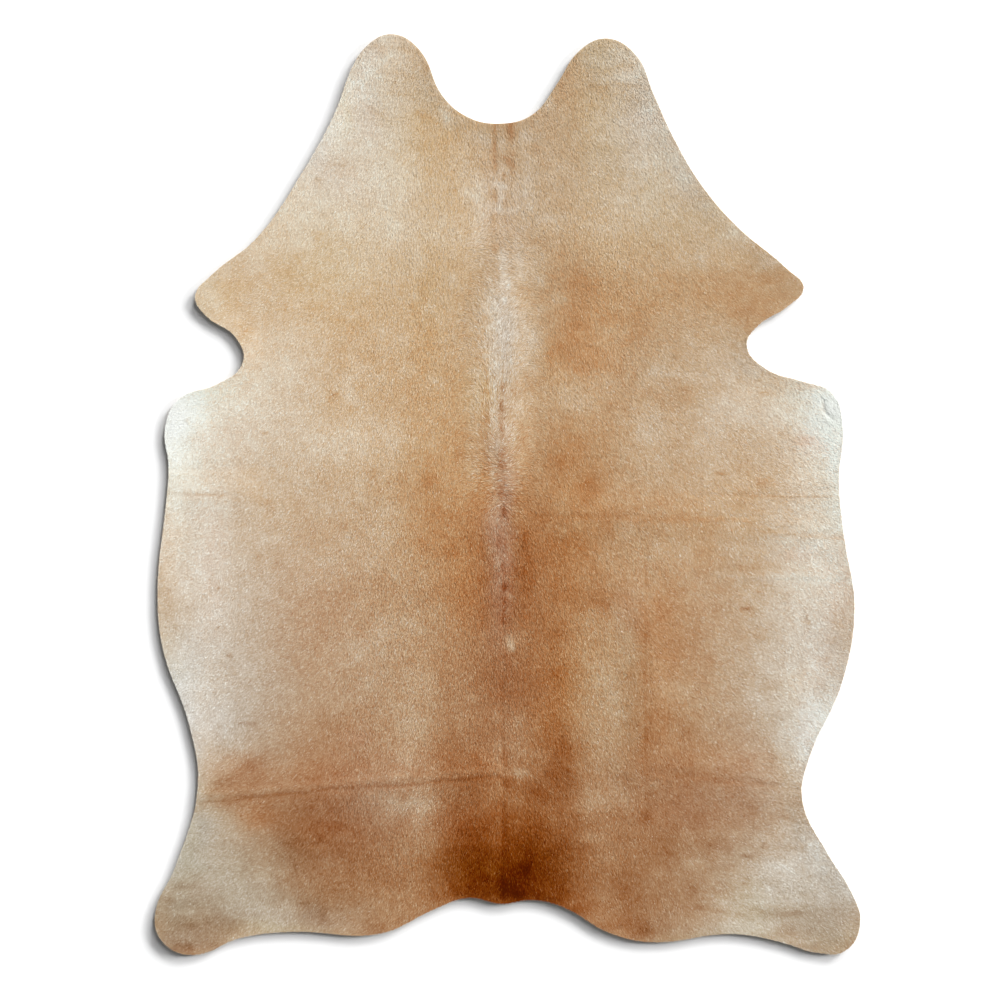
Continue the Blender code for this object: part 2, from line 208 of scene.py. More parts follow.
# Small blotches on top of the patches, by region, unturned: across, along, half width, half
# length, how much deeper in tenths of a step
BLOTCHES = {
    "neck, left": [
        (-335, 1025, 28, 30, -7), (-372, 965, 16, 35, -5), (-290, 1072, 40, 14, -5),
        (-277, 1022, 22, 14, -4), (-339, 934, 18, 12, -3), (-235, 919, 32, 17, -3),
        (-177, 925, 24, 18, -4), (-140, 901, 20, 34, -9), (-425, 846, 24, 20, -3),
        (-377, 825, 26, 20, -3), (-412, 773, 32, 22, -3), (-391, 728, 18, 14, -3),
        (-107, 746, 20, 30, -4), (-60, 829, 28, 16, -4), (-59, 777, 18, 14, -3),
        (-69, 725, 20, 12, -4), (-408, 653, 26, 16, -4), (-387, 615, 36, 13, -3),
        (-270, 632, 22, 19, -6), (-277, 583, 18, 15, -3), (-152, 635, 20, 20, -5),
        (-128, 590, 16, 18, -3), (-11, 611, 10, 16, -5), (-25, 538, 18, 22, -4),
        (-522, 659, 15, 13, -3), (-543, 621, 12, 26, -3), (-612, 577, 28, 12, -4),
        (-474, 549, 15, 15, -4), (-425, 566, 13, 11, -3), (-346, 521, 18, 16, -5),
        (-221, 525, 18, 20, -4), (-190, 1002, 14, 20, 7), (-232, 977, 12, 14, 2),
        (-270, 960, 14, 17, 3), (-374, 901, 20, 12, 4), (-346, 884, 15, 20, 3),
        (-194, 884, 20, 16, 2), (-118, 832, 26, 16, 4), (-204, 811, 26, 14, 5),
        (-183, 756, 14, 13, 5), (-336, 794, 26, 13, 4), (-329, 746, 13, 34, 2),
        (-474, 725, 20, 12, 6), (-121, 718, 18, 13, 6), (-73, 690, 18, 11, 5), (-56, 672, 9, 10, 3),
        (-187, 690, 19, 11, 3), (-463, 614, 20, 15, 4), (-336, 583, 32, 13, 4),
        (-180, 576, 26, 17, 3), (-177, 511, 22, 18, 4), (-73, 583, 13, 10, 4),
        (-495, 514, 20, 10, 3), (-100, 880, 70, 18, -4), (-180, 950, 22, 32, -4),
        (-120, 752, 40, 32, 4), (-222, 885, 22, 20, 3), (-320, 672, 22, 28, 3),
        (-125, 672, 26, 24, 3), (-185, 725, 24, 24, 3), (-15, 700, 14, 50, 3),
        (-165, 560, 45, 28, 3), (-680, 520, 45, 20, -4), (-570, 555, 30, 28, -3),
        (-180, 810, 14, 35, 3), (-375, 920, 14, 40, 2), (-60, 560, 20, 20, -4),
    ],
    "neck, right": [
        (308, 1002, 14, 24, -7), (183, 974, 12, 14, -5), (276, 984, 20, 8, -4),
        (100, 919, 12, 15, -6), (342, 901, 20, 13, -6), (200, 870, 32, 17, -5),
        (263, 872, 20, 10, -5), (166, 850, 14, 14, -3), (228, 836, 34, 14, -2),
        (373, 853, 10, 15, -6), (124, 825, 10, 10, -4), (104, 794, 22, 10, -4),
        (304, 774, 10, 13, -4), (418, 746, 18, 20, -10), (17, 729, 12, 8, -4),
        (62, 732, 20, 14, -3), (183, 701, 13, 14, -5), (187, 663, 10, 12, -4),
        (90, 649, 24, 10, -8), (83, 684, 18, 11, -3), (266, 691, 26, 8, -3), (225, 677, 13, 10, -4),
        (221, 615, 28, 18, -6), (325, 649, 12, 20, -5), (377, 649, 13, 12, -3),
        (470, 677, 20, 10, -6), (28, 552, 20, 15, -7), (21, 601, 8, 15, -5), (273, 550, 16, 30, -6),
        (304, 525, 14, 12, -4), (453, 546, 17, 34, -8), (567, 584, 15, 13, -5),
        (622, 545, 26, 12, -6), (124, 963, 9, 12, 6), (159, 939, 22, 12, 5), (152, 908, 13, 13, 3),
        (200, 912, 12, 10, 4), (266, 1010, 13, 10, 5), (232, 956, 13, 10, 3), (266, 960, 13, 6, 3),
        (59, 860, 12, 13, 4), (52, 815, 19, 12, 6), (276, 811, 13, 12, 3), (304, 829, 13, 10, 5),
        (266, 756, 19, 12, 3), (314, 715, 14, 14, 4), (339, 763, 13, 10, 3), (152, 677, 10, 20, 3),
        (45, 691, 13, 8, 5), (62, 594, 19, 10, 7), (90, 574, 14, 9, 4), (346, 580, 17, 19, 3),
        (453, 642, 10, 13, 4), (484, 615, 24, 10, 4), (584, 552, 8, 12, 4), (591, 511, 28, 8, 5),
        (3, 774, 6, 13, 4), (395, 790, 26, 30, -4), (432, 725, 26, 26, -6), (545, 612, 30, 20, -5),
        (640, 543, 45, 18, -5), (325, 920, 22, 60, -4), (288, 1035, 30, 16, -4),
        (362, 850, 20, 15, -5), (120, 622, 22, 14, -4), (80, 532, 22, 16, -4), (90, 585, 12, 18, 4),
        (52, 622, 14, 10, 4), (122, 930, 18, 22, 4), (388, 690, 14, 12, 4), (330, 735, 15, 26, 3),
        (90, 845, 14, 20, 3), (205, 832, 28, 14, -3), (280, 620, 40, 12, -2), (40, 735, 18, 28, -2),
        (90, 690, 12, 24, -3), (120, 770, 12, 60, 2), (240, 560, 30, 20, -2),
    ],
    "shoulder, left": [
        (-712, 484, 15, 22, -5), (-325, 477, 17, 15, -5), (-332, 425, 20, 17, -4),
        (-294, 387, 12, 19, -7), (-215, 463, 14, 16, -4), (-180, 436, 19, 24, -6),
        (-101, 412, 13, 10, -4), (-42, 491, 13, 24, -7), (-25, 346, 11, 18, -4),
        (-25, 297, 10, 14, -6), (-170, 263, 22, 28, -6), (-515, 315, 24, 15, -5),
        (-370, 225, 15, 15, -9), (-294, 273, 17, 17, -5), (-228, 284, 20, 18, -3),
        (-201, 201, 10, 15, -4), (-73, 263, 13, 18, -5), (-59, 225, 13, 12, -5),
        (-581, 180, 15, 13, -4), (-577, 228, 24, 18, -3), (-602, 118, 24, 20, -6),
        (-626, 90, 18, 12, -4), (-643, 246, 13, 10, -4), (-439, 139, 15, 18, -3),
        (-332, 132, 15, 13, -3), (-270, 97, 18, 34, -6), (-239, 69, 16, 18, -4),
        (-180, 121, 15, 13, -5), (-18, 121, 13, 17, -10), (-18, 173, 9, 16, -4),
        (-764, 76, 36, 11, -4), (-529, 24, 14, 10, -3), (-87, 21, 17, 15, -5),
        (-515, 467, 13, 10, 5), (-415, 412, 18, 10, 5), (-391, 429, 12, 26, 2),
        (-320, 322, 20, 14, 9), (-443, 325, 10, 8, 4), (-605, 297, 15, 10, 8),
        (-577, 325, 13, 15, 3), (-408, 232, 14, 18, 7), (-508, 221, 18, 10, 3),
        (-691, 170, 13, 12, 7), (-729, 125, 20, 13, 5), (-505, 135, 12, 15, 3),
        (-477, 107, 10, 12, 4), (-377, 142, 10, 15, 3), (-429, 76, 17, 12, 5),
        (-387, 35, 12, 17, 3), (-315, 52, 28, 12, 5), (-653, 38, 28, 13, 4), (-550, 55, 17, 10, 3),
        (-149, 163, 13, 20, 5), (-90, 132, 24, 13, 6), (-114, 90, 17, 13, 6), (-180, 40, 22, 22, 6),
        (-35, 83, 11, 15, 8), (-128, 477, 15, 8, 4), (-83, 498, 17, 8, 3), (-118, 436, 8, 10, 3),
        (-45, 411, 13, 13, 6), (-14, 446, 8, 12, 6), (-204, 394, 8, 12, 4), (-177, 374, 17, 8, 3),
        (-266, 456, 12, 16, 3), (-97, 214, 10, 10, 4), (-7, 256, 8, 13, 9), (-7, 322, 8, 10, 5),
        (-617, 380, 26, 40, 6), (-650, 425, 32, 16, 3), (-342, 350, 22, 24, 4),
        (-398, 400, 24, 16, 3), (-20, 270, 16, 30, -5), (-15, 440, 16, 70, -4),
        (-14, 140, 14, 60, -4), (-40, 195, 15, 28, 4), (-390, 170, 34, 50, 3),
        (-560, 160, 44, 50, -3), (-575, 78, 24, 14, -4), (-740, 12, 34, 12, -6),
        (-190, 70, 22, 46, 3), (-175, 20, 30, 20, 3), (-258, 160, 20, 20, -3), (-30, 62, 12, 12, 4),
        (-760, 130, 50, 26, 3), (-400, 35, 34, 25, 3), (-600, 40, 40, 20, 2), (-120, 78, 22, 16, 2),
        (-275, 235, 20, 15, -2), (-470, 388, 36, 16, -3), (-190, 380, 34, 16, 2),
    ],
    "shoulder, right": [
        (124, 456, 20, 20, -8), (69, 429, 18, 16, -5), (62, 367, 18, 20, -6),
        (266, 488, 13, 13, -4), (166, 377, 12, 10, -5), (235, 384, 16, 13, -9),
        (270, 377, 13, 13, -7), (214, 353, 22, 10, -5), (453, 436, 12, 13, -4),
        (353, 415, 13, 16, -3), (429, 353, 15, 16, -5), (477, 332, 15, 20, -3),
        (45, 294, 22, 12, -4), (135, 280, 12, 15, -6), (121, 249, 20, 13, -5),
        (349, 294, 17, 18, -7), (387, 280, 18, 8, -3), (442, 270, 24, 13, -5),
        (522, 266, 15, 16, -5), (588, 280, 8, 10, -6), (297, 208, 10, 17, -5),
        (308, 159, 14, 18, -5), (328, 132, 20, 17, -7), (359, 152, 12, 20, -5),
        (615, 194, 18, 13, -4), (691, 235, 20, 10, -3), (750, 221, 15, 16, -8),
        (764, 187, 15, 17, -10), (726, 180, 18, 12, -5), (73, 208, 18, 8, -4),
        (252, 163, 15, 10, -3), (477, 62, 13, 20, -4), (525, 28, 16, 14, -3), (366, 70, 20, 15, -3),
        (280, 40, 28, 16, -3), (41, 45, 13, 17, -5), (90, 14, 18, 13, -3), (667, 76, 26, 10, -3),
        (100, 322, 14, 15, 9), (122, 344, 18, 14, 6), (162, 294, 9, 10, 8), (149, 322, 10, 9, 4),
        (10, 329, 10, 12, 8), (18, 240, 17, 22, 10), (28, 125, 17, 23, 12), (24, 162, 12, 14, 7),
        (66, 166, 17, 10, 3), (118, 76, 24, 15, 5), (197, 24, 18, 20, 6), (297, 273, 10, 19, 9),
        (266, 284, 13, 13, 4), (352, 228, 22, 18, 5), (242, 208, 13, 13, 6), (397, 201, 10, 10, 7),
        (404, 249, 9, 8, 6), (200, 166, 12, 18, 4), (207, 125, 12, 16, 3), (304, 418, 18, 12, 5),
        (529, 463, 18, 13, 6), (546, 429, 10, 16, 4), (537, 387, 10, 15, 5), (529, 346, 10, 12, 5),
        (605, 498, 18, 8, 5), (567, 477, 18, 12, 4), (646, 467, 18, 10, 5), (605, 239, 18, 12, 9),
        (622, 270, 10, 13, 4), (567, 152, 20, 13, 6), (646, 145, 16, 16, 10), (691, 128, 22, 12, 9),
        (394, 111, 26, 10, 5), (442, 86, 22, 8, 4), (242, 76, 13, 8, 4), (598, 28, 20, 12, 8),
        (635, 26, 18, 9, 5), (753, 14, 18, 13, 6), (501, 49, 12, 6, 5), (715, 232, 42, 18, -8),
        (762, 190, 16, 36, -6), (766, 80, 18, 34, -5), (570, 290, 44, 16, -4),
        (120, 345, 34, 32, 4), (128, 92, 28, 20, 5), (180, 18, 36, 20, 4), (10, 80, 16, 24, 4),
        (105, 290, 14, 36, 3), (200, 298, 14, 12, 4), (270, 300, 20, 26, 3), (372, 480, 22, 24, 4),
        (500, 480, 26, 24, 3), (522, 410, 16, 18, 3), (630, 450, 36, 12, 3), (220, 370, 22, 30, -3),
        (390, 285, 80, 10, -3), (470, 28, 14, 28, -4), (700, 112, 44, 12, 4), (600, 125, 34, 14, 2),
        (228, 232, 18, 12, -3), (100, 450, 18, 34, -3), (20, 245, 10, 14, 4),
        (492, 195, 14, 12, -4), (330, 330, 22, 30, 2), (45, 150, 14, 50, 3), (330, 150, 26, 26, -2),
    ],
    "back and belly, left": [
        (-785, -26, 22, 12, -7), (-730, -26, 24, 11, -4), (-678, -26, 20, 11, -4),
        (-425, -37, 24, 19, -7), (-536, -48, 12, 26, -4), (-550, -103, 26, 11, -7),
        (-346, -13, 12, 17, -6), (-287, -17, 13, 18, -5), (-135, -26, 20, 15, -3),
        (-139, -79, 18, 9, -4), (-42, -55, 10, 15, -4), (-45, -124, 13, 22, -7),
        (-716, -134, 15, 13, -4), (-709, -193, 13, 24, -5), (-778, -185, 20, 26, -3),
        (-636, -217, 12, 15, -3), (-633, -276, 22, 12, -3), (-439, -127, 13, 19, -4),
        (-377, -117, 28, 13, -4), (-232, -138, 19, 17, -5), (-266, -193, 19, 20, -7),
        (-183, -186, 20, 9, -5), (-526, -297, 17, 11, -4), (-505, -265, 13, 12, -3),
        (-387, -286, 15, 15, -6), (-239, -297, 20, 15, -5), (-201, -321, 17, 15, -7),
        (-159, -265, 15, 15, -5), (-156, -321, 18, 9, -5), (-121, -324, 15, 9, -3),
        (-28, -321, 15, 15, -7), (-17, -358, 18, 13, -7), (-59, -358, 15, 12, -4),
        (-346, -379, 17, 17, -8), (-391, -376, 11, 11, -4), (-671, -345, 26, 26, -4),
        (-619, -393, 12, 18, -5), (-600, -421, 26, 11, -7), (-560, -376, 12, 17, -3),
        (-128, -407, 22, 17, -5), (-97, -428, 22, 12, -6), (-177, -428, 17, 15, -4),
        (-83, -476, 18, 20, -10), (-73, -517, 12, 12, -7), (-24, -521, 15, 17, -11),
        (-190, -528, 20, 9, -6), (-588, -497, 12, 18, -4), (-329, -449, 11, 18, -3),
        (-591, -17, 24, 12, 5), (-391, -75, 24, 13, 5), (-588, -145, 18, 17, 6),
        (-543, -166, 20, 13, 7), (-501, -179, 18, 24, 3), (-87, -110, 11, 17, 6),
        (-132, -141, 13, 13, 7), (-197, -117, 12, 12, 3), (-11, -58, 8, 20, 8),
        (-11, -228, 13, 22, 10), (-38, -255, 18, 12, 4), (-726, -269, 32, 26, 5),
        (-743, -286, 11, 11, 4), (-799, -262, 15, 28, 5), (-754, -324, 13, 22, 3),
        (-695, -238, 20, 13, 3), (-584, -294, 18, 11, 5), (-318, -214, 17, 18, 5),
        (-329, -283, 22, 13, 3), (-294, -259, 13, 13, 3), (-170, -214, 17, 9, 4),
        (-425, -331, 15, 13, 4), (-481, -345, 18, 13, 4), (-443, -359, 13, 20, 5),
        (-505, -376, 15, 17, 3), (-543, -438, 15, 15, 5), (-256, -421, 12, 13, 4),
        (-232, -445, 17, 8, 4), (-380, -459, 17, 17, 5), (-674, -462, 20, 13, 4),
        (-726, -476, 12, 15, 5), (-488, -521, 18, 15, 5), (-429, -525, 22, 17, 8),
        (-391, -545, 17, 12, 4), (-800, -100, 14, 60, 4), (-812, -190, 10, 30, 5),
        (-128, -155, 24, 24, 5), (-105, -252, 36, 16, 5), (-20, -260, 24, 16, 6),
        (-5, -20, 8, 30, 5), (-35, -195, 12, 16, 5), (-85, -90, 16, 40, 3),
        (-232, -175, 24, 26, -4), (-300, -205, 34, 16, 4), (-290, -255, 20, 24, 3),
        (-400, -330, 16, 26, 3), (-345, -330, 24, 16, 2), (-530, -325, 15, 16, 4),
        (-475, -318, 22, 16, -4), (-455, -10, 24, 40, -3), (-110, -480, 20, 44, -5),
        (-150, -530, 50, 20, -4), (-60, -360, 44, 40, -3), (-180, -450, 34, 24, -3),
        (-20, -470, 20, 40, -2), (-770, -425, 16, 20, 4), (-690, -430, 20, 20, 3),
        (-760, -155, 18, 20, -3), (-560, -110, 20, 14, -3), (-640, -470, 24, 14, 2),
        (-395, -40, 14, 16, 3), (-230, -390, 50, 16, 2), (-10, -100, 10, 20, 5),
    ],
    "back and belly, right": [
        (124, -17, 19, 24, -6), (66, -27, 15, 17, -3), (97, -82, 15, 12, -5),
        (131, -86, 17, 13, -8), (169, -75, 15, 22, -8), (232, -20, 11, 18, -3),
        (290, -62, 20, 22, -4), (304, -82, 14, 12, -3), (14, -124, 12, 13, -5),
        (391, -82, 30, 9, -3), (435, -82, 13, 8, -3), (404, -148, 9, 18, -4),
        (394, -183, 12, 15, -4), (429, -124, 20, 18, -3), (218, -148, 15, 11, -4),
        (328, -148, 15, 11, -5), (204, -221, 13, 9, -4), (252, -210, 18, 12, -4),
        (290, -228, 13, 9, -4), (187, -297, 20, 11, -4), (21, -348, 20, 24, -12),
        (21, -393, 12, 15, -6), (50, -324, 14, 14, -4), (180, -359, 18, 24, -3),
        (287, -338, 9, 15, -4), (294, -386, 13, 12, -6), (342, -390, 12, 9, -3),
        (422, -248, 11, 17, -4), (418, -303, 17, 9, -4), (467, -290, 17, 13, -3),
        (494, -348, 12, 9, -6), (550, -155, 12, 9, -4), (712, -34, 24, 11, -5),
        (753, -20, 18, 9, -4), (698, -228, 11, 13, -3), (753, -276, 9, 22, -4),
        (670, -359, 13, 13, -5), (363, -462, 20, 13, -5), (218, -435, 26, 11, -4),
        (252, -476, 18, 24, -7), (259, -514, 22, 11, -6), (162, -514, 15, 17, -7),
        (155, -483, 24, 13, -4), (90, -473, 13, 13, -5), (24, -531, 13, 17, -9),
        (69, -528, 13, 22, -3), (639, -545, 11, 13, -6), (3, -58, 8, 18, 6), (228, -68, 13, 15, 5),
        (245, -89, 9, 13, 5), (180, -134, 13, 13, 5), (21, -172, 9, 18, 5), (3, -234, 13, 24, 10),
        (366, -20, 28, 11, 3), (643, -15, 18, 11, 7), (615, -82, 26, 8, 5), (705, -96, 18, 8, 5),
        (767, -103, 12, 9, 5), (508, -151, 15, 22, 6), (477, -158, 14, 14, 3),
        (553, -179, 28, 11, 4), (629, -169, 18, 13, 6), (664, -148, 13, 15, 8),
        (705, -151, 13, 18, 4), (111, -234, 9, 24, 6), (211, -255, 17, 13, 8),
        (311, -255, 8, 11, 5), (394, -269, 15, 15, 6), (359, -269, 18, 22, 4),
        (501, -224, 18, 18, 6), (529, -234, 14, 14, 4), (518, -262, 12, 15, 5),
        (536, -300, 13, 13, 5), (574, -276, 22, 13, 8), (591, -331, 15, 17, 9),
        (650, -248, 17, 18, 6), (702, -283, 13, 15, 5), (708, -314, 11, 13, 6),
        (118, -331, 26, 14, 9), (221, -352, 22, 9, 4), (301, -300, 8, 13, 6),
        (325, -331, 13, 13, 6), (397, -386, 13, 18, 6), (442, -386, 20, 11, 4),
        (477, -393, 17, 13, 6), (387, -421, 13, 18, 5), (553, -414, 24, 20, 4),
        (608, -449, 20, 17, 8), (746, -386, 15, 11, 6), (740, -449, 18, 20, 8),
        (767, -421, 15, 15, 5), (691, -494, 15, 11, 8), (691, -531, 13, 13, 4),
        (760, -338, 20, 9, 4), (795, -190, 9, 22, 4), (111, -528, 13, 18, 6), (187, -469, 17, 9, 5),
        (408, -538, 18, 17, 4), (429, -552, 14, 12, 4), (477, -511, 18, 15, 3),
        (560, -511, 28, 15, 3), (20, -200, 20, 50, 4), (130, -250, 30, 14, 4),
        (110, -320, 30, 34, 4), (125, -425, 26, 16, 5), (20, -330, 26, 34, -4),
        (30, -500, 30, 30, -4), (20, -410, 16, 40, -2), (165, -120, 16, 18, 4),
        (230, -250, 14, 50, 4), (370, -230, 22, 26, 4), (380, -300, 20, 24, 4),
        (315, -318, 14, 14, 5), (410, -370, 26, 26, 3), (470, -190, 36, 44, 4),
        (470, -270, 16, 16, 3), (600, -175, 90, 10, 4), (380, -60, 70, 7, 4),
        (275, -370, 22, 50, -4), (240, -450, 26, 20, -3), (575, -310, 34, 26, 3),
        (770, -25, 22, 36, -6), (760, -80, 60, 10, -5), (640, -110, 60, 12, -3),
        (110, -50, 60, 50, -3), (380, -520, 34, 24, 4), (480, -495, 20, 20, -4),
        (560, -530, 30, 24, 3), (725, -515, 30, 16, -4), (720, -320, 16, 16, -4),
        (620, -415, 14, 30, -3), (665, -450, 34, 30, 2), (285, -85, 30, 16, -3),
        (180, 0, 20, 20, 4),
    ],
    "rump and hind leg, left": [
        (-650, -651, 28, 17, -10), (-626, -627, 22, 13, -5), (-584, -611, 17, 12, -8),
        (-702, -685, 18, 9, -7), (-304, -710, 18, 11, -3), (-515, -654, 20, 24, -3),
        (-232, -620, 13, 17, -9), (-253, -599, 13, 20, -4), (-180, -720, 20, 17, -8),
        (-18, -596, 13, 13, -7), (-24, -654, 15, 24, -7), (-24, -699, 17, 17, -6),
        (-674, -755, 22, 13, -5), (-678, -779, 20, 13, -3), (-647, -803, 18, 9, -5),
        (-553, -760, 13, 16, -4), (-425, -860, 18, 13, -9), (-387, -876, 15, 17, -9),
        (-398, -903, 15, 12, -5), (-439, -834, 22, 17, -5), (-173, -820, 17, 22, -9),
        (-194, -841, 22, 13, -5), (-170, -786, 15, 11, -5), (-135, -807, 18, 13, -4),
        (-263, -862, 26, 18, -5), (-45, -886, 26, 12, -8), (-87, -896, 15, 10, -4),
        (-584, -903, 18, 13, -6), (-647, -910, 24, 11, -3), (-253, -938, 24, 11, -6),
        (-515, -972, 18, 13, -6), (-577, -972, 15, 9, -4), (-757, -979, 28, 9, -7),
        (-709, -983, 22, 11, -4), (-795, -1007, 18, 15, -5), (-678, -585, 15, 15, 6),
        (-653, -692, 20, 6, 5), (-664, -730, 28, 8, 6), (-591, -744, 13, 11, 4),
        (-453, -668, 17, 8, 5), (-398, -658, 18, 15, 5), (-332, -634, 11, 15, 5),
        (-432, -544, 22, 12, 4), (-211, -654, 22, 10, 7), (-239, -668, 13, 12, 4),
        (-149, -647, 20, 8, 9), (-118, -592, 9, 13, 4), (-69, -620, 13, 20, 7),
        (-107, -685, 18, 13, 4), (-246, -706, 15, 20, 14), (-229, -758, 15, 28, 6),
        (-256, -786, 12, 16, 4), (-394, -779, 22, 12, 9), (-356, -796, 24, 15, 5),
        (-488, -779, 9, 22, 4), (-80, -792, 11, 17, 9), (-104, -799, 14, 9, 4),
        (-726, -827, 24, 15, 5), (-678, -827, 17, 13, 4), (-519, -820, 15, 13, 3),
        (-761, -917, 24, 11, 8), (-788, -938, 15, 24, 6), (-546, -896, 8, 8, 6),
        (-498, -882, 15, 24, 4), (-494, -924, 13, 15, 4), (-356, -924, 11, 9, 4),
        (-311, -938, 20, 13, 5), (-432, -990, 11, 18, 9), (-470, -958, 11, 15, 5),
        (-329, -986, 24, 15, 3), (-298, -1010, 11, 9, 5), (-626, -986, 18, 9, 6),
        (-671, -958, 20, 13, 3), (-740, -1010, 13, 9, 8), (-750, -1062, 38, 9, 9),
        (-778, -1048, 15, 10, 4), (-128, -931, 18, 18, 8), (-80, -924, 24, 11, 8),
        (-31, -931, 28, 16, 11), (-570, -695, 40, 8, -5), (-460, -695, 60, 10, -6),
        (-315, -690, 20, 30, -4), (-190, -740, 24, 40, -5), (-130, -820, 34, 16, -4),
        (-110, -790, 20, 10, 4), (-395, -740, 20, 34, 4), (-340, -770, 40, 20, 2),
        (-150, -610, 60, 30, 4), (-430, -570, 30, 20, 3), (-340, -590, 20, 40, 3),
        (-500, -630, 20, 24, -3), (-40, -700, 16, 50, -3), (-80, -940, 70, 14, 7),
        (-165, -945, 30, 14, 5), (-10, -930, 30, 20, 6), (-455, -990, 26, 30, 5),
        (-640, -1020, 30, 14, 5), (-740, -1020, 20, 16, 3), (-770, -1065, 34, 14, 6),
        (-800, -950, 14, 24, 4), (-740, -830, 20, 70, 3), (-560, -870, 30, 60, -3),
        (-425, -872, 20, 20, -4), (-240, -845, 26, 26, -3), (-730, -740, 20, 20, 4),
        (-220, -640, 30, 30, 2),
    ],
    "rump and hind leg, right": [
        (0, -880, 28, 44, -5), (-24, -912, 22, 24, -2), (68, -868, 22, 20, 3),
        (112, -890, 18, 40, 3),
        (48, -788, 26, 16, -3), (60, -640, 24, 30, -2), (-75, -815, 40, 16, 2),
        (76, -565, 13, 15, -4), (62, -609, 24, 13, -8), (135, -634, 11, 11, -6),
        (28, -658, 15, 12, -8), (28, -717, 15, 13, -7), (31, -768, 18, 13, -7),
        (76, -737, 17, 15, -5), (107, -734, 13, 11, -4), (100, -768, 13, 13, -4),
        (187, -696, 11, 18, -6), (211, -641, 13, 20, -4), (276, -724, 20, 18, -8),
        (238, -737, 15, 8, -5), (301, -699, 11, 11, -7), (342, -679, 15, 9, -7),
        (373, -710, 28, 11, -8), (377, -606, 13, 17, -5), (477, -630, 22, 15, -5),
        (511, -654, 18, 8, -4), (190, -806, 32, 11, -10), (235, -855, 17, 13, -8),
        (183, -848, 13, 9, -4), (138, -886, 11, 13, -4), (83, -827, 13, 17, -4),
        (194, -945, 17, 11, -8), (228, -945, 20, 13, -9), (256, -976, 22, 13, -6),
        (415, -793, 26, 18, -5), (425, -872, 22, 17, -8), (456, -862, 17, 13, -5),
        (356, -889, 18, 15, -8), (501, -713, 13, 18, -4), (511, -789, 28, 11, -6),
        (529, -806, 13, 13, -5), (622, -710, 28, 8, -5), (670, -782, 18, 13, -5),
        (695, -609, 13, 20, -7), (629, -869, 24, 15, -3), (726, -824, 9, 15, -5),
        (726, -872, 15, 15, -3), (508, -955, 22, 11, -6), (477, -948, 14, 10, -3),
        (684, -952, 13, 9, -6), (740, -952, 13, 13, -7), (800, -943, 12, 13, -6),
        (515, -1010, 15, 20, -8), (467, -1024, 13, 9, -5), (615, -1014, 15, 13, -5),
        (781, -1021, 13, 17, -4), (422, -558, 17, 17, 7), (401, -575, 13, 13, 4),
        (328, -571, 15, 15, 6), (173, -578, 15, 13, 3), (494, -596, 15, 6, 5),
        (622, -616, 17, 17, 9), (626, -641, 14, 12, 5), (591, -592, 18, 15, 4),
        (563, -634, 18, 15, 4), (600, -677, 44, 7, 7), (500, -672, 44, 7, 4), (415, -661, 38, 8, 6),
        (73, -699, 22, 9, 7), (107, -665, 17, 13, 5), (228, -692, 15, 17, 7),
        (325, -755, 17, 17, 12), (342, -772, 14, 12, 4), (166, -758, 20, 15, 5),
        (176, -775, 17, 9, 4), (259, -803, 11, 13, 4), (48, -848, 15, 20, 7), (41, -882, 18, 17, 6),
        (121, -834, 13, 18, 5), (83, -886, 16, 12, 4), (456, -758, 18, 18, 6),
        (453, -710, 11, 13, 4), (570, -734, 18, 18, 8), (574, -789, 11, 15, 5),
        (650, -755, 15, 8, 7), (477, -827, 13, 17, 5), (314, -837, 22, 9, 4),
        (377, -844, 11, 13, 5), (494, -876, 15, 17, 4), (601, -827, 17, 9, 7),
        (570, -851, 15, 8, 7), (664, -834, 32, 9, 4), (280, -886, 18, 15, 5),
        (615, -910, 22, 11, 4), (439, -927, 15, 13, 13), (391, -945, 11, 15, 5),
        (453, -965, 17, 11, 5), (600, -982, 34, 9, 4), (674, -983, 24, 8, 8), (712, -983, 15, 8, 6),
        (664, -1014, 13, 9, 4), (325, -1024, 20, 15, 12), (373, -1021, 13, 18, 6),
        (726, -1062, 18, 8, 9), (21, -938, 28, 10, 12), (138, -938, 18, 14, 11),
        (69, -938, 22, 10, 7), (169, -979, 13, 9, 9), (221, -1014, 22, 9, 8), (10, -900, 30, 40, 6),
        (40, -880, 24, 20, 4), (110, -950, 30, 10, 7), (165, -975, 26, 14, 8),
        (240, -1010, 40, 14, 6), (320, -1035, 40, 10, 4), (210, -920, 14, 26, -5),
        (270, -965, 34, 20, -4), (90, -620, 20, 24, -4), (60, -660, 14, 14, -5),
        (30, -720, 24, 30, -4), (110, -760, 40, 24, -4), (210, -815, 16, 20, -4),
        (200, -870, 30, 20, -2), (350, -895, 40, 24, -3), (410, -830, 40, 26, -3),
        (340, -680, 40, 26, -3), (450, -590, 30, 16, 6), (390, -570, 40, 24, 3),
        (600, -760, 44, 14, 5), (640, -640, 30, 30, 4), (600, -620, 16, 16, 3),
        (235, -765, 44, 12, 4), (300, -770, 30, 14, 4), (640, -690, 40, 8, 4),
        (690, -600, 20, 40, -4), (735, -845, 18, 26, -7), (710, -810, 20, 14, -3),
        (640, -985, 90, 16, 4), (660, -1030, 40, 14, 5), (540, -990, 24, 12, 5),
        (380, -990, 30, 24, 4), (440, -860, 20, 20, -3), (560, -820, 30, 14, 2),
        (210, -710, 24, 10, 4), (10, -670, 10, 16, 4),
    ],
}

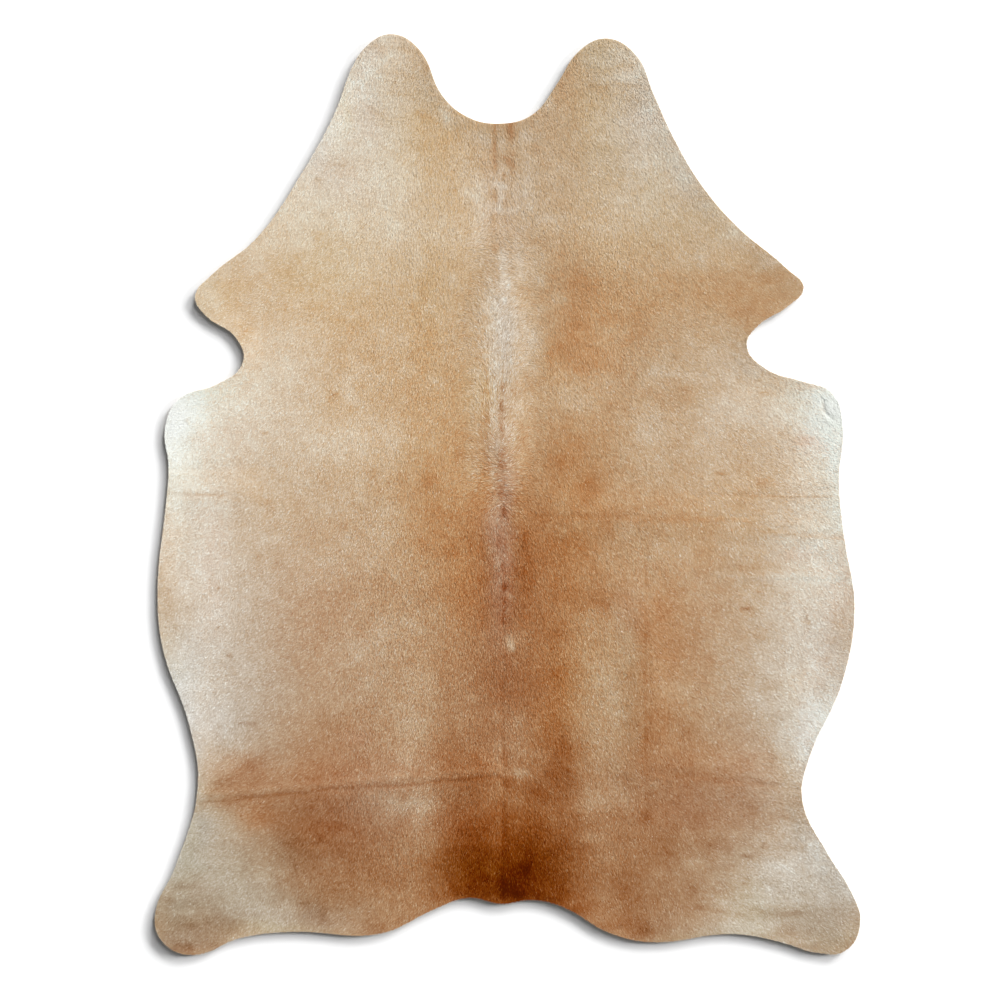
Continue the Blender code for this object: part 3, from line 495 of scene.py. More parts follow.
# Tints over them, all unturned: across, along, half width, half length, how much more golden
# (minus is ashen), how much rosier (minus is yellower)
TINTS = [
    (-480, 480, 330, 240, 0.25, 0), (-150, 80, 120, 280, 0.24, 0), (150, -60, 120, 330, 0.22, 0),
    (-10, 60, 35, 330, -0.18, 0), (700, -480, 150, 200, -0.3, 0), (-680, -580, 150, 200, -0.35, 0),
    (-320, 960, 90, 120, -0.2, 0), (340, 850, 90, 130, -0.25, 0), (-10, 700, 60, 160, -0.1, 0),
    (600, 480, 140, 80, 0.12, 0), (-110, -220, 60, 130, 0.14, 0), (360, -330, 110, 260, 0.12, 0),
    (-290, -720, 140, 130, -0.12, 0), (-700, -940, 240, 160, -0.42, 0),
    (700, -930, 240, 180, -0.38, 0),
    (-130, 720, 130, 170, 0.28, 0), (-290, 990, 60, 80, 0.3, 0), (-130, 880, 110, 60, 0.15, 0),
    (-440, 780, 50, 70, -0.35, 0), (-790, 180, 50, 60, -0.4, -0.13),
    (-740, -280, 140, 200, -0.18, 0),
    (-800, -450, 60, 110, -0.5, -0.2), (-600, -480, 140, 160, -0.16, 0),
    (-560, -250, 120, 150, -0.12, 0), (-730, -860, 130, 100, -0.1, 0),
    (-500, -1000, 200, 50, -0.2, 0),
    (200, 340, 90, 120, 0.2, 0.02), (330, 480, 200, 120, 0.18, 0), (250, 650, 160, 100, 0.15, 0),
    (220, 900, 90, 120, 0.12, 0), (450, 80, 250, 250, 0.12, 0.01), (620, 260, 60, 40, 0.25, 0),
    (0, 390, 24, 100, -0.38, 0), (760, 210, 40, 40, -0.35, 0), (735, 145, 35, 50, 0.1, 0.14),
    (-380, 150, 70, 90, 0.15, 0),
    (480, -80, 150, 90, 0.15, 0), (780, -200, 50, 90, 0.15, 0.08), (700, -440, 60, 50, 0.25, 0),
    (120, -480, 60, 120, 0.15, 0), (-20, -890, 130, 50, 0.1, -0.06),
    (0, -780, 120, 100, 0.1, -0.03),
    (500, -1030, 200, 40, -0.2, 0), (770, -1000, 70, 90, -0.15, 0),
    (-725, 130, 35, 50, 0.15, 0.1), (-720, -50, 60, 50, 0.1, 0.06),
    (-690, -230, 30, 110, 0.05, 0.03), (-780, -750, 90, 130, 0, -0.08),
    (-670, -920, 150, 110, 0, -0.1),
    (-790, -960, 80, 120, 0, -0.06), (-450, -980, 200, 60, 0, -0.03),
    (700, -960, 150, 100, 0, -0.06),
    (560, -1000, 60, 50, 0, -0.06), (740, -330, 60, 220, 0, 0.03),
    (-18, -120, 24, 200, -0.05, 0.06),
    (-16, 660, 40, 160, 0, 0.03), (230, 850, 80, 180, 0, -0.05), (430, 640, 150, 80, 0, -0.04),
    (-430, 570, 150, 130, 0, -0.05), (-250, 850, 120, 150, 0, -0.04), (-700, 450, 60, 70, 0, -0.05),
    (640, -660, 120, 120, 0, 0.04), (-480, -260, 200, 200, 0, 0.03),
    (-350, -680, 150, 130, 0, 0.035), (220, 1040, 80, 50, 0, -0.05),
    (-320, 1000, 28, 60, 0, 0.07), (-330, 880, 30, 60, 0, 0.04), (-390, 730, 60, 60, 0, 0.03),
    (2, -80, 16, 230, 0, 0.05), (680, -600, 60, 150, 0, -0.06), (-560, -1030, 110, 25, 0, -0.1),
    (500, -1040, 110, 25, 0, -0.08), (775, -1050, 60, 40, 0, -0.06), (600, -960, 60, 50, 0, -0.05),
    (-765, -830, 35, 110, 0, -0.08), (-300, 250, 190, 260, 0.1, 0), (-45, 30, 25, 120, 0.14, 0),
    (100, 300, 35, 70, 0.12, 0), (-350, -450, 120, 100, -0.08, 0),
    (-180, 430, 60, 140, 0.08, -0.01),
    (-680, -460, 60, 60, 0.12, 0), (-790, 60, 40, 120, -0.25, -0.11),
    (-780, -880, 50, 120, -0.25, -0.03),
    (-160, 600, 120, 200, 0, -0.02), (-400, -1000, 150, 50, -0.1, 0), (340, 860, 35, 30, 0, 0.04),
    (365, 820, 50, 120, 0.22, 0),
    (200, -450, 130, 180, 0, -0.02), (430, -750, 130, 60, 0, 0.02), (-690, 470, 40, 40, -0.1, 0),
    (510, 650, 60, 60, 0.22, 0), (735, 240, 40, 18, 0.35, 0.2), (768, 120, 18, 60, 0.15, 0.2),
    (-700, 240, 50, 18, 0.3, 0.05), (705, -560, 26, 60, 0, 0.1), (725, -430, 30, 60, 0, 0.05),
    (700, -130, 50, 22, 0.1, 0.08), (-50, 330, 28, 130, 0.12, 0), (280, -280, 50, 60, 0, 0.03),
    (-690, -140, 36, 80, 0.04, 0.04), (340, 730, 50, 60, 0, -0.04), (-640, 150, 60, 60, 0.04, 0.03),
    (-350, -560, 40, 20, 0, 0.04), (630, -940, 40, 30, 0, 0.04), (-740, -920, 50, 30, 0, 0.05),
    (-392, 900, 14, 80, 0, -0.08), (30, 0, 20, 200, 0.08, 0),
    (0, -450, 120, 320, 0, 0.02), (430, -300, 190, 240, 0, 0.015), (430, -690, 200, 90, 0, 0.02),
    (-100, -760, 200, 60, 0, 0.02), (-780, 110, 60, 110, -0.1, -0.05),
    (735, 160, 34, 60, 0.15, 0.05), (-745, -560, 36, 170, -0.2, 0), (-730, -780, 30, 50, -0.2, 0),
    (550, 585, 50, 40, 0.18, 0), (-650, 240, 80, 40, 0.13, 0.02), (-770, -910, 50, 40, 0.15, 0.03),
    (-640, -720, 90, 50, 0.12, 0), (-770, -1050, 60, 30, -0.15, 0), (-560, -920, 70, 40, -0.1, 0),
    (-60, 250, 50, 60, 0.05, -0.04), (0, -950, 120, 24, 0, -0.03),
    (-640, -635, 80, 48, 0.24, 0.03), (-590, -765, 55, 34, 0.22, 0.03),
]


# Small marks of the coat, and painted shade and highlights on its creases: name, half width, how
# much deeper, the places it runs through
MARKS = [
    ("neck line", 7, 1.3, [(-30, 872), (-30, 825), (-29, 760)]),
    ("neck patch", 12, 1.4, [(7, 868), (9, 836)]),
    ("neck mottle", 13, 0.9, [(-10, 790), (8, 780), (14, 772)]),
    ("neck, pale", 40, -0.6, [(42, 860), (44, 690)]),
    ("neck, pale", 24, -0.5, [(-14, 840), (-12, 700)]),
    ("neck, pale", 30, -0.5, [(-64, 735), (-66, 600)]),
    ("neck, pale", 30, -0.8, [(35, 515), (80, 500)]),
    ("neck mottle", 8, 1.1, [(-8, 752), (-7, 744)]),
    ("neck mottle", 9, 0.6, [(12, 758), (10, 750)]),
    ("neck mottle", 10, 0.5, [(4, 705), (4, 692)]),
    ("neck mottle", 9, 0.5, [(-27, 705), (-27, 690)]),
    ("neck tuft", 11, -1.3, [(-32, 727), (-4, 722)]),
    ("neck tuft", 8, -1.0, [(-19, 716), (-18, 668)]),
    ("neck tuft, left", 20, -0.7, [(-100, 712), (-50, 676)]),
    ("neck tuft", 12, -0.7, [(-30, 668), (20, 664)]),
    ("neck streak", 4, 0.8, [(-93, 789), (-41, 785)]),
    ("neck streak", 4, 0.7, [(-88, 772), (-45, 770)]),
    ("neck shade", 12, 0.5, [(-31, 655), (-30, 615)]),
    ("feather spot", 12, 0.9, [(-29, 580), (-28, 570)]),
    ("feather line", 6, 0.5, [(7, 573), (6, 542)]),
    ("feather, top", 22, -0.7, [(-10, 560), (-2, 500)]),
    ("feather, top", 10, -0.4, [(4, 500), (6, 478)]),
    ("feather", 48, -0.4, [(-12, 480), (-12, 320)]),
    ("feather, right", 48, -0.6, [(34, 420), (40, 330)]),
    ("feather, low", 40, -0.5, [(-6, 320), (4, 220)]),
    ("feather edge", 22, -0.3, [(-40, 450), (-42, 290)]),
    ("feather, left", 52, -0.5, [(-58, 440), (-56, 290)]),
    ("feather, left", 42, -0.65, [(-74, 232), (-74, 60)]),
    ("feather tip", 8, -0.8, [(-10, 462), (-8, 450)]),
    ("feather tip", 9, -0.9, [(14, 458), (24, 450)]),
    ("feather, left foot", 17, -1.1, [(-34, 270), (-35, 20)]),
    ("feather, right foot", 30, -0.75, [(18, 250), (10, 20)]),
    ("feather, right foot", 34, -0.7, [(48, 220), (40, 120)]),
    ("feather shade", 9, 0.6, [(-11, 310), (-12, 285)]),
    ("feather shade", 10, 0.9, [(-14, 265), (-14, 240)]),
    ("spine line", 8, 0.9, [(-14, 216), (-13, 120)]),
    ("spine dot", 9, 1.3, [(-16, 212), (-14, 200)]),
    ("spine line", 8, 0.6, [(-12, 110), (-12, 60)]), ("spine dot", 9, 1.3, [(-14, 74), (-13, 66)]),
    ("spine dot", 12, 0.8, [(-16, 12), (-12, -2)]), ("spine dot", 10, 2.1, [(-9, -34), (-9, -46)]),
    ("spine tuft", 7, -1.0, [(-25, -58), (-25, -66)]),
    ("spine tuft", 6, -1.0, [(-7, -58), (-7, -66)]),
    ("spine dot", 9, 0.9, [(-22, -104), (-20, -116)]),
    ("spine tuft", 7, -1.2, [(-9, -99), (-8, -105)]),
    ("spine dot", 7, 0.9, [(-7, -120), (-7, -132)]),
    ("spine tuft", 8, -0.7, [(-24, -150), (-21, -168)]),
    ("spine dot", 6, 0.9, [(-10, -166), (-10, -184)]),
    ("spine dot", 9, 2.3, [(-8, -214), (-7, -222)]),
    ("spine tuft", 8, -1.9, [(-2, -229), (8, -243)]),
    ("spine line", 6, 1.0, [(-9, -252), (-9, -300)]),
    ("spine tuft", 14, -1.5, [(3, -338), (8, -364)]),
    ("spine tuft", 9, -0.8, [(10, -356), (14, -368)]),
    ("rump tuft", 14, -1.1, [(-2, -654), (42, -652)]),
    ("spine roan", 34, -0.8, [(-12, -20), (-12, -260)]),
    ("back, orange", 26, 0.7, [(42, -90), (46, -225)]),
    ("back, orange", 22, 0.5, [(-62, -100), (-56, -200)]),
    ("rump line", 8, 0.45, [(-14, -436), (-12, -560)]),
    ("rump line", 10, 0.7, [(-8, -562), (-3, -690)]),
    ("rump line", 11, 0.9, [(-7, -715), (-8, -800)]),
    ("rump line", 8, 0.45, [(-9, -815), (-9, -955)]),
    ("rump edge", 24, 0.7, [(-110, -948), (0, -958), (95, -958), (150, -976)]),
    # Painted shade along the rump fold's trough and a painted highlight along its ridge
    ("fold, painted shade", 7, 1.0, [(-728, -723), (-605, -711), (-488, -699), (-370, -687),
                           (-253, -683), (-18, -661)]),
    ("fold, painted highlight", 14, -0.3, [(-728, -703), (-605, -693), (-370, -669), (-60, -646)]),
    ("fold streak", 26, 0.8, [(-699, -694), (-582, -612)]),
    # Painted shade along the thigh crease
    ("thigh crease, painted shade", 9, 0.5, [(-523, -821), (-494, -821)]),
    ("thigh crease, painted shade", 7, 0.3, [(-480, -818), (-354, -821)]),
    ("thigh dot", 9, 1.2, [(-442, -811), (-438, -811)]),
    # Painted highlight on a small bump of the thigh
    ("thigh bump painted highlight", 14, -0.7, [(-546, -894), (-540, -894)]),
    ("loin dash", 6, 1.0, [(-629, -537), (-593, -537)]),
    ("leg streak", 12, 0.6, [(-752, -1050), (-745, -1068)]),
    ("leg streak", 12, 0.5, [(-652, -1005), (-616, -1005)]),
    ("leg streak", 12, 0.5, [(-815, -950), (-780, -955)]),
    # Painted shade in the curled shoulder corner and along the creases of the back, waist, flank
    # and loin, with a painted highlight along the flank's ridge
    ("shoulder curl", 6, 1.1, [(739, 217), (744, 194), (753, 184), (770, 175)]),
    ("waist crease painted shade, right", 4, 1.0, [(560, -4), (781, -6)]),
    ("back crease painted shade, right", 9, 0.3, [(60, -50), (320, -52), (560, -60)]),
    ("flank crease painted shade, right", 6, 0.6, [(570, -84), (700, -97), (812, -107)]),
    ("flank ridge painted highlight", 22, -0.4, [(546, -190), (812, -205)]),
    ("waist crease painted shade, left", 6, 0.7, [(-800, 4), (-652, -3)]),
    ("waist shade, left", 16, 0.3, [(-600, -8), (-560, -16)]),
    ("loin crease painted shade", 6, 0.45, [(325, -154), (324, -440), (327, -718)]),
    ("mark", 7, 1.4, [(-572, 145), (-564, 145)]), ("mark", 8, 1.5, [(-656, -380), (-648, -378)]),
    ("mark", 6, 1.4, [(-680, -220), (-678, -222)]), ("mark", 6, 1.2, [(-318, 39), (-314, 39)]),
    ("mark", 8, 0.7, [(486, 52), (512, 49)]), ("mark", 6, 1.4, [(548, -267), (570, -268)]),
    ("mark", 8, 1.5, [(704, -300), (708, -302)]), ("mark", 7, 1.2, [(516, -546), (520, -546)]),
    ("mark", 6, 1.2, [(669, 105), (673, 105)]), ("mark", 6, 1.0, [(556, -847), (560, -847)]),
    # Wrinkles of the neck lobes: their darker lines are painted shade and their paler lines painted
    # highlights
    ("lobe wrinkle painted shade, left", 7, 0.5, [(-318, 1052), (-277, 1049), (-224, 1040)]),
    ("lobe wrinkle painted shade, left", 6, 0.4, [(-300, 991), (-245, 985), (-194, 974)]),
    ("lobe wrinkle painted shade, left", 7, 0.5, [(-283, 943), (-231, 937)]),
    ("lobe wrinkle painted shade, left", 8, 0.5, [(-337, 918), (-285, 882)]),
    ("lobe wrinkle painted shade, left", 9, 0.5, [(-215, 899), (-159, 873)]),
    ("lobe hook", 6, -0.4, [(-365, 966), (-342, 972), (-340, 950)]),
    ("lobe hook", 5, -0.4, [(-356, 934), (-318, 936)]),
    ("lobe hook", 6, 0.4, [(-358, 954), (-326, 942)]),
    ("lobe painted highlight", 9, -0.7, [(-159, 904), (-138, 878)]),
    ("lobe painted highlight", 7, -0.3, [(-215, 927), (-170, 925)]),
    ("lobe wrinkle painted shade, right", 6, 0.5, [(227, 993), (262, 1003), (302, 1011)]),
    ("lobe painted highlight, right", 11, -0.35, [(215, 978), (307, 982)]),
    ("lobe wrinkle painted shade, right", 7, 0.5, [(203, 955), (236, 953)]),
    ("lobe wrinkle painted shade, right", 6, 0.6, [(255, 965), (330, 955)]),
    ("lobe wrinkle painted shade, right", 7, 0.4, [(288, 930), (335, 924)]),
    # Painted shade in the wrinkles of the hind legs and thighs, with painted highlights beside them
    ("leg wrinkle painted shade, right", 6, 0.6, [(438, -972), (495, -978), (523, -984)]),
    ("leg wrinkle painted shade, right", 6, 0.6, [(542, -984), (575, -998)]),
    ("leg wrinkle painted shade, right", 5, 0.5, [(560, -969), (593, -974)]),
    ("leg wrinkle painted shade, right", 7, 0.4, [(593, -979), (640, -989), (692, -981)]),
    ("leg wrinkle painted shade, right", 7, 0.3, [(697, -970), (755, -976)]),
    ("leg painted highlight, right", 8, -0.3, [(466, -957), (715, -955)]),
    ("leg wrinkle painted shade, right", 5, 0.7, [(551, -851), (572, -850)]),
    ("leg wrinkle painted shade, right", 6, 0.35, [(572, -848), (614, -824)]),
    ("leg wrinkle painted shade, right", 6, 0.4, [(631, -832), (697, -828)]),
    ("leg wrinkle painted shade, right", 9, 0.4, [(471, -825), (523, -832)]),
    ("leg wrinkle painted shade, right", 7, 0.8, [(368, -831), (385, -845)]),
    ("leg painted highlight, right", 12, -0.3, [(584, -872), (659, -876)]),
    ("leg wrinkle painted shade, left", 7, 0.35, [(-777, -920), (-737, -921)]),
    ("leg painted highlight, left", 9, -0.6, [(-790, -982), (-737, -982)]),
    ("leg wrinkle painted shade, left", 9, 0.4, [(-790, -1005), (-730, -1012)]),
    ("leg painted highlight, left", 9, -0.6, [(-785, -1036), (-737, -1037)]),
    ("thigh wrinkle painted shade", 5, 0.5, [(-412, -930), (-354, -926)]),
    ("thigh wrinkle painted shade", 6, 0.7, [(-484, -962), (-472, -962)]),
    ("thigh wrinkle painted shade", 6, 0.8, [(-554, -896), (-536, -898)]),
    ("thigh painted highlight", 5, -0.8, [(-534, -882), (-524, -894)]),
    ("shoulder smudge", 7, 0.8, [(-752, 176), (-748, 168)]),
    ("neck scratch", 5, 1.3, [(-405, 776), (-384, 772)]),
    ("neck smudge", 9, 1.1, [(-448, 741), (-442, 737)]),
    ("rump, lighter side", 20, -0.7, [(-40, -865), (-30, -905), (-32, -935)]),
    ("rump, softer middle", 26, -0.45, [(34, -858), (12, -905)]),
]


def soft_noise(across, along, cell, seed):
    """Soft noise from -1 to 1 that changes over a cell of this size."""
    count = 199                     # cells before it repeats
    shift = (90.37, 90.71)          # cells from its corner to the middle of the hide
    values = np.random.RandomState(seed).uniform(-1, 1, (count + 1, count + 1))
    column = across / cell + shift[0]
    row = along / cell + shift[1]
    left = np.floor(column).astype(int)
    low = np.floor(row).astype(int)
    u = column - left
    v = row - low
    u = u * u * (3 - 2 * u)
    v = v * v * (3 - 2 * v)
    left %= count
    low %= count
    below = values[low, left] * (1 - u) + values[low, left + 1] * u
    above = values[low + 1, left] * (1 - u) + values[low + 1, left + 1] * u
    return below * (1 - v) + above * v


def clouds(across, along, layers):
    """Several layers of soft noise together, each a cell, a strength and a seed."""
    return sum(strength * soft_noise(across, along, cell, seed)
               for cell, strength, seed in layers)


def add_hills(values, across, along, hills):
    """Add soft oval hills, each a place, half sizes, turn and height, to some values."""
    faded = 2.6                     # half sizes from its middle, where a hill has run out
    for middle_across, middle_along, half_width, half_length, turn, height in hills:
        reach = faded * max(half_width, half_length)
        near = np.flatnonzero((np.abs(across - middle_across) < reach)
                              & (np.abs(along - middle_along) < reach))
        side = across[near] - middle_across
        ahead = along[near] - middle_along
        u = (side * cos(radians(turn)) + ahead * sin(radians(turn))) / half_width
        v = (ahead * cos(radians(turn)) - side * sin(radians(turn))) / half_length
        values[near] += height * np.exp(-u * u - v * v)


def add_marks(values, across, along, marks):
    """Add thin uneven marks, each a half width, a height and the places it runs through."""
    uneven = 1 + clouds(across, along, [UNEVEN_MARK])
    for _, half_width, height, places in marks:
        low = np.min(places, axis=0) - half_width
        high = np.max(places, axis=0) + half_width
        near = np.flatnonzero((across > low[0]) & (across < high[0])
                              & (along > low[1]) & (along < high[1]))
        off = np.full(len(near), np.inf)
        for start, end in zip(places[:-1], places[1:]):
            off = np.minimum(off, distance_to_run(across[near], along[near], start, end))
        values[near] += height * fade(off, half_width) * uneven[near]


def to_linear(hex_colour):
    """An sRGB hex colour as linear red, green and blue."""
    channels = [int(hex_colour[i:i + 2], 16) / 255 for i in (0, 2, 4)]
    return [c / 12.92 if c <= 0.04045 else ((c + 0.055) / 1.055) ** 2.4 for c in channels]


def coat_colour(across, along, variation=0.0):
    """The coat's linear colour at some places, with its patches, mottling and painted crease shade.
    """
    wander = clouds(across, along, WANDER)
    drift = clouds(across, along, DRIFT)
    depth = PLAIN_DEPTH + variation + clouds(across, along, MOTTLING)
    for hills in PATCHES.values():
        add_hills(depth, across + wander, along + drift, hills)
    for spots in BLOTCHES.values():
        add_hills(depth, across, along, [(*spot[:4], 0, spot[4] / 10) for spot in spots])
    add_marks(depth, across, along, MARKS)
    richness = np.full(across.shape, PLAIN_RICHNESS)
    rosiness = np.zeros(across.shape)
    for middle_across, middle_along, half_width, half_length, richer, rosier in TINTS:
        oval = (middle_across, middle_along, half_width, half_length, 0)
        add_hills(richness, across + wander, along + drift, [(*oval, richer)])
        add_hills(rosiness, across + wander, along + drift, [(*oval, rosier)])
    shades = np.array([to_linear(shade) for shade in SHADES.values()]) ** (1 / EYE)
    steps = np.arange(len(shades))
    shade = np.stack([np.interp(depth, steps, shades[:, i]) for i in range(3)], axis=-1)
    grey = (shade @ np.array(LUMA))[:, None]
    shade = grey + (shade - grey) * richness[:, None]
    rosy = rosiness * (shade[:, 0] - shade[:, 2])
    shade += rosy[:, None] * np.array(ROSY)
    return np.clip(shade, 0, 1) ** EYE


def points_of(mesh):
    """A mesh's points as an array in metres."""
    places = np.zeros(len(mesh.vertices) * 3, np.float32)
    mesh.vertices.foreach_get("co", places)
    return places.reshape(-1, 3).astype(float)


def paint(mesh, name, colours):
    """Keep one colour for each point of a mesh."""
    layer = mesh.color_attributes.new(name, "FLOAT_COLOR", "POINT")
    values = np.ones((len(colours), 4), np.float32)
    values[:, :3] = colours
    layer.data.foreach_set("color", values.ravel())


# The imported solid's underside is where the skin lies: its outline, its folds and lifted tips.
# A copy of it keeps the faces whose corners are all beneath, so no sliver leaves a hole.  Its
# outline is pressed flat into one cut shape, divided finely and laid back on the folds.
skin = bmesh.new()
skin.from_mesh(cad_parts["hide"].data)
bmesh.ops.remove_doubles(skin, verts=skin.verts[:], dist=0.01 * MM)
beneath = {corner for face in skin.faces if face.normal.z < -0.5 for corner in face.verts}
others = [face for face in skin.faces if not beneath.issuperset(face.verts)]
bmesh.ops.delete(skin, geom=others, context="FACES")
underside = BVHTree.FromBMesh(skin)
inner = [edge for edge in skin.edges if not edge.is_boundary]
bmesh.ops.delete(skin, geom=inner, context="EDGES_FACES")
loose = [corner for corner in skin.verts if not corner.link_edges]
bmesh.ops.delete(skin, geom=loose, context="VERTS")
for corner in skin.verts:
    corner.co.z = 0
bmesh.ops.subdivide_edges(skin, edges=skin.edges[:], cuts=RIM_CUTS)
for _ in range(RIM_SOFTENING):
    bmesh.ops.smooth_vert(skin, verts=skin.verts[:], factor=0.5, use_axis_x=True, use_axis_y=True)
bmesh.ops.contextual_create(skin, geom=skin.edges[:])
for direction, reach in zip((Vector((1, 0, 0)), Vector((0, 1, 0))), SKIN_REACH):
    for number in range(-int(reach / SKIN_STRIP), int(reach / SKIN_STRIP) + 1):
        bmesh.ops.bisect_plane(
            skin,
            geom=skin.verts[:] + skin.edges[:] + skin.faces[:],
            dist=STRIP_SNAP * MM,
            plane_co=direction * number * SKIN_STRIP * MM,
            plane_no=direction,
        )
cut_edge = KDTree(len(skin.verts))
for corner in skin.verts:
    if corner.is_boundary:
        cut_edge.insert(corner.co, corner.index)
cut_edge.balance()
for corner in skin.verts:
    hit = underside.ray_cast(corner.co + Vector((0, 0, 1)), Vector((0, 0, -1)))[0]
    curl = RIM_CURL * fade(cut_edge.find(corner.co)[2] / MM, RIM_WIDTH) * MM
    corner.co.z = max((hit or underside.find_nearest(corner.co)[0]).z, curl)
for _ in range(SKIN_SOFTENING):
    bmesh.ops.smooth_vert(skin, verts=skin.verts[:], factor=0.5, use_axis_z=True)
bmesh.ops.recalc_face_normals(skin, faces=skin.faces[:])
raised = bmesh.ops.extrude_face_region(skin, geom=skin.faces[:])["geom"]
hair_side = {item for item in raised if isinstance(item, bmesh.types.BMVert)}
places = np.array([corner.co for corner in skin.verts]) / MM
creases = crease_height(places[:, 0], places[:, 1])
skin_heights = thinning(places[:, 0], SKIN_AT_SPINE, SKIN_AT_FLANK)
for corner, crease, thick in zip(skin.verts, creases, skin_heights):
    lain = max(corner.co.z / MM + crease, 0)
    if corner in hair_side:
        lain = max(corner.co.z / MM + crease + thick, lain + thick / 2)
    corner.co.z = lain * MM
bmesh.ops.recalc_face_normals(skin, faces=skin.faces[:])
for face in skin.faces:
    face.smooth = True
    face.material_index = 0 if face.normal.z > 0.3 else 1
for edge in skin.edges:
    edge.smooth = edge.link_faces[0].material_index == edge.link_faces[1].material_index

skin_mesh = bpy.data.meshes.new("hide_skin")
skin.to_mesh(skin_mesh)
skin.free()
hide_skin = bpy.data.objects.new("hide_skin", skin_mesh)
bpy.context.scene.collection.objects.link(hide_skin)
skin_places = points_of(skin_mesh)
paint(skin_mesh, "coat", coat_colour(skin_places[:, 0] / MM, skin_places[:, 1] / MM))


def add_node(material, kind, settings, links):
    """Add a shader node, set its values and link its inputs from (node, output) pairs."""
    node = material.node_tree.nodes.new(kind)
    for name, value in settings.items():
        if name in node.inputs:
            node.inputs[name].default_value = value
        else:
            setattr(node, name, value)
    for name, (source, output) in links.items():
        material.node_tree.links.new(source.outputs[output], node.inputs[name])
    return node


def new_material(name):
    """A material with an empty node tree."""
    material = bpy.data.materials.new(name)
    material.use_nodes = True
    material.node_tree.nodes.clear()
    return material


# Underfur: the short fine hair next to the skin.  It is matt, and the coat colour on it is darkened
# unevenly as painted shade down between the locks, where alone it shows.
underfur = new_material("cattle underfur")
coat_point = add_node(underfur, "ShaderNodeAttribute", {"attribute_name": "coat"}, {})
place = add_node(underfur, "ShaderNodeTexCoord", {}, {})
fluff = add_node(underfur, "ShaderNodeTexNoise", {"Scale": 1 / (3 * MM), "Detail": 2.0},
                 {"Vector": (place, "Object")})
# Painted shade between the locks: the coat colour is scaled to 0.72 to 1.02 of itself by the noise
shade = add_node(underfur, "ShaderNodeMapRange", {"To Min": 0.72, "To Max": 1.02},
                 {"Value": (fluff, "Fac")})
underfur_painted_shade = add_node(underfur, "ShaderNodeVectorMath", {"operation": "SCALE"},
                  {"Scale": (shade, "Result")})
underfur.node_tree.links.new(coat_point.outputs["Color"], underfur_painted_shade.inputs[0])
shader = add_node(underfur, "ShaderNodeBsdfPrincipled",
                  {"Roughness": 0.85, "Specular IOR Level": 0.02},
                  {"Base Color": (underfur_painted_shade, "Vector")})
add_node(underfur, "ShaderNodeOutputMaterial", {}, {"Surface": (shader, "BSDF")})

# Flesh side and cut edge: chrome-tanned split suede, buffed to a pale even nap.
suede = new_material("buffed suede flesh side")
place = add_node(suede, "ShaderNodeTexCoord", {}, {})
nap = add_node(suede, "ShaderNodeTexNoise", {"Scale": 1 / (6 * MM), "Detail": 6.0},
               {"Vector": (place, "Object")})
tint = add_node(suede, "ShaderNodeMix", {"data_type": "RGBA"}, {"Factor": (nap, "Fac")})
tint.inputs["A"].default_value = (*to_linear("B8A88F"), 1)
tint.inputs["B"].default_value = (*to_linear("CDBFA6"), 1)
shader = add_node(suede, "ShaderNodeBsdfPrincipled", {"Roughness": 0.95},
                  {"Base Color": (tint, "Result")})
add_node(suede, "ShaderNodeOutputMaterial", {}, {"Surface": (shader, "BSDF")})
skin_mesh.materials.append(underfur)
skin_mesh.materials.append(suede)

# ---------------------------------------------------------------------------------------------
# The hair: a short, dense summer coat that lies on the skin from the neck to the tail and
# outwards to the belly.  Hairs cling together in fine flat locks; each is one pointed facet,
# broad at its root.  The coat is kept in five strips, from left to right.

LOCKS = 860_000
LOCK_LENGTH = 6.6       # a lock's usual length along the back
LOCK_WIDTH = 1.35       # and its usual width at the root
FLANK_SHARE = 0.8       # locks at the belly edges are finer: this share of both
LOCK_RISE = 0.35        # how much higher a lock's tip is than its root
RISE_BELOW = 8          # a lock shorter than this rises less, by the same share
SHORTEST_CLIP = 0.15    # the least share of a lock that is left at the cut edge
PILE_AT_SPINE = 1.1     # the coat's own height over the skin
PILE_AT_FLANK = 0.8
LOCK_TURN = 13          # degrees that a lock usually turns away from its neighbours
LOCK_TWIST = 0.05       # how much of its width one side of a lock stands higher
LOCK_OWN_SHADE = 0.1    # how much of a lock's own tilt shows in its shading
SKIN_SLOPE_SHADE = 0.25  # and how much of the skin's slope, since hair evens it out
PARTING = 14            # hairs this close to the spine lie to either side
OVERHANG = 2.0          # how far a tip may hang over the cut edge
STRIPS = ["left_flank", "left_back", "spine", "right_back", "right_flank"]

# The feather: longer hair of mixed shades over the shoulders, which lies forwards
FEATHER_ALONG = 290     # the middle of its length
FEATHER_LENGTH = 380    # it runs this far to either end
FEATHER_WIDTH = 82      # and this far to either side
MIXED_ALONG = 170       # mixed hair runs on towards the tail, round this place
MIXED_LENGTH = 560
MIXED_WIDTH = 85
MIXED_LONGER = 0.35     # it is longer by this share

# Which way the hair lies, in degrees away from the tail
LEAN_AT_SPINE = 8
LEAN_ADDED = 42         # what the way out to the flank adds
LEAN_REACH = 700        # by this distance from the spine
LEAN_STARTS = 60        # hair nearer to the spine than this leans less
FEATHER_LEAN = 168      # nearly straight to the neck
LEAN_CLOUDS = [(150, 14, 21), (45, 6, 22)]  # cell, degrees and seed
PARTING_CLOUD = (70, 10, 20)                # cell, millimetres and seed

# How much the shade of a lock differs from its neighbours, in steps of depth
MIX_PLAIN = 0.5
MIX_TO_TAIL = (0.35, 600, 1200)     # added towards the tail, from this place, over this length
MIX_TO_FLANK = 0.15                 # added at the flanks
MIX_MIXED = 0.4                     # added in the mixed hair of the back
# Painted shade and light: a root is darkened as if shaded deep in the coat, a tip lightened as if
# lit on top
ROOT_PAINTED_SHADE = 0.92                   # a root is darker
TIP_PAINTED_LIGHT = 1.05                    # and a tip paler

chance = np.random.RandomState(11)


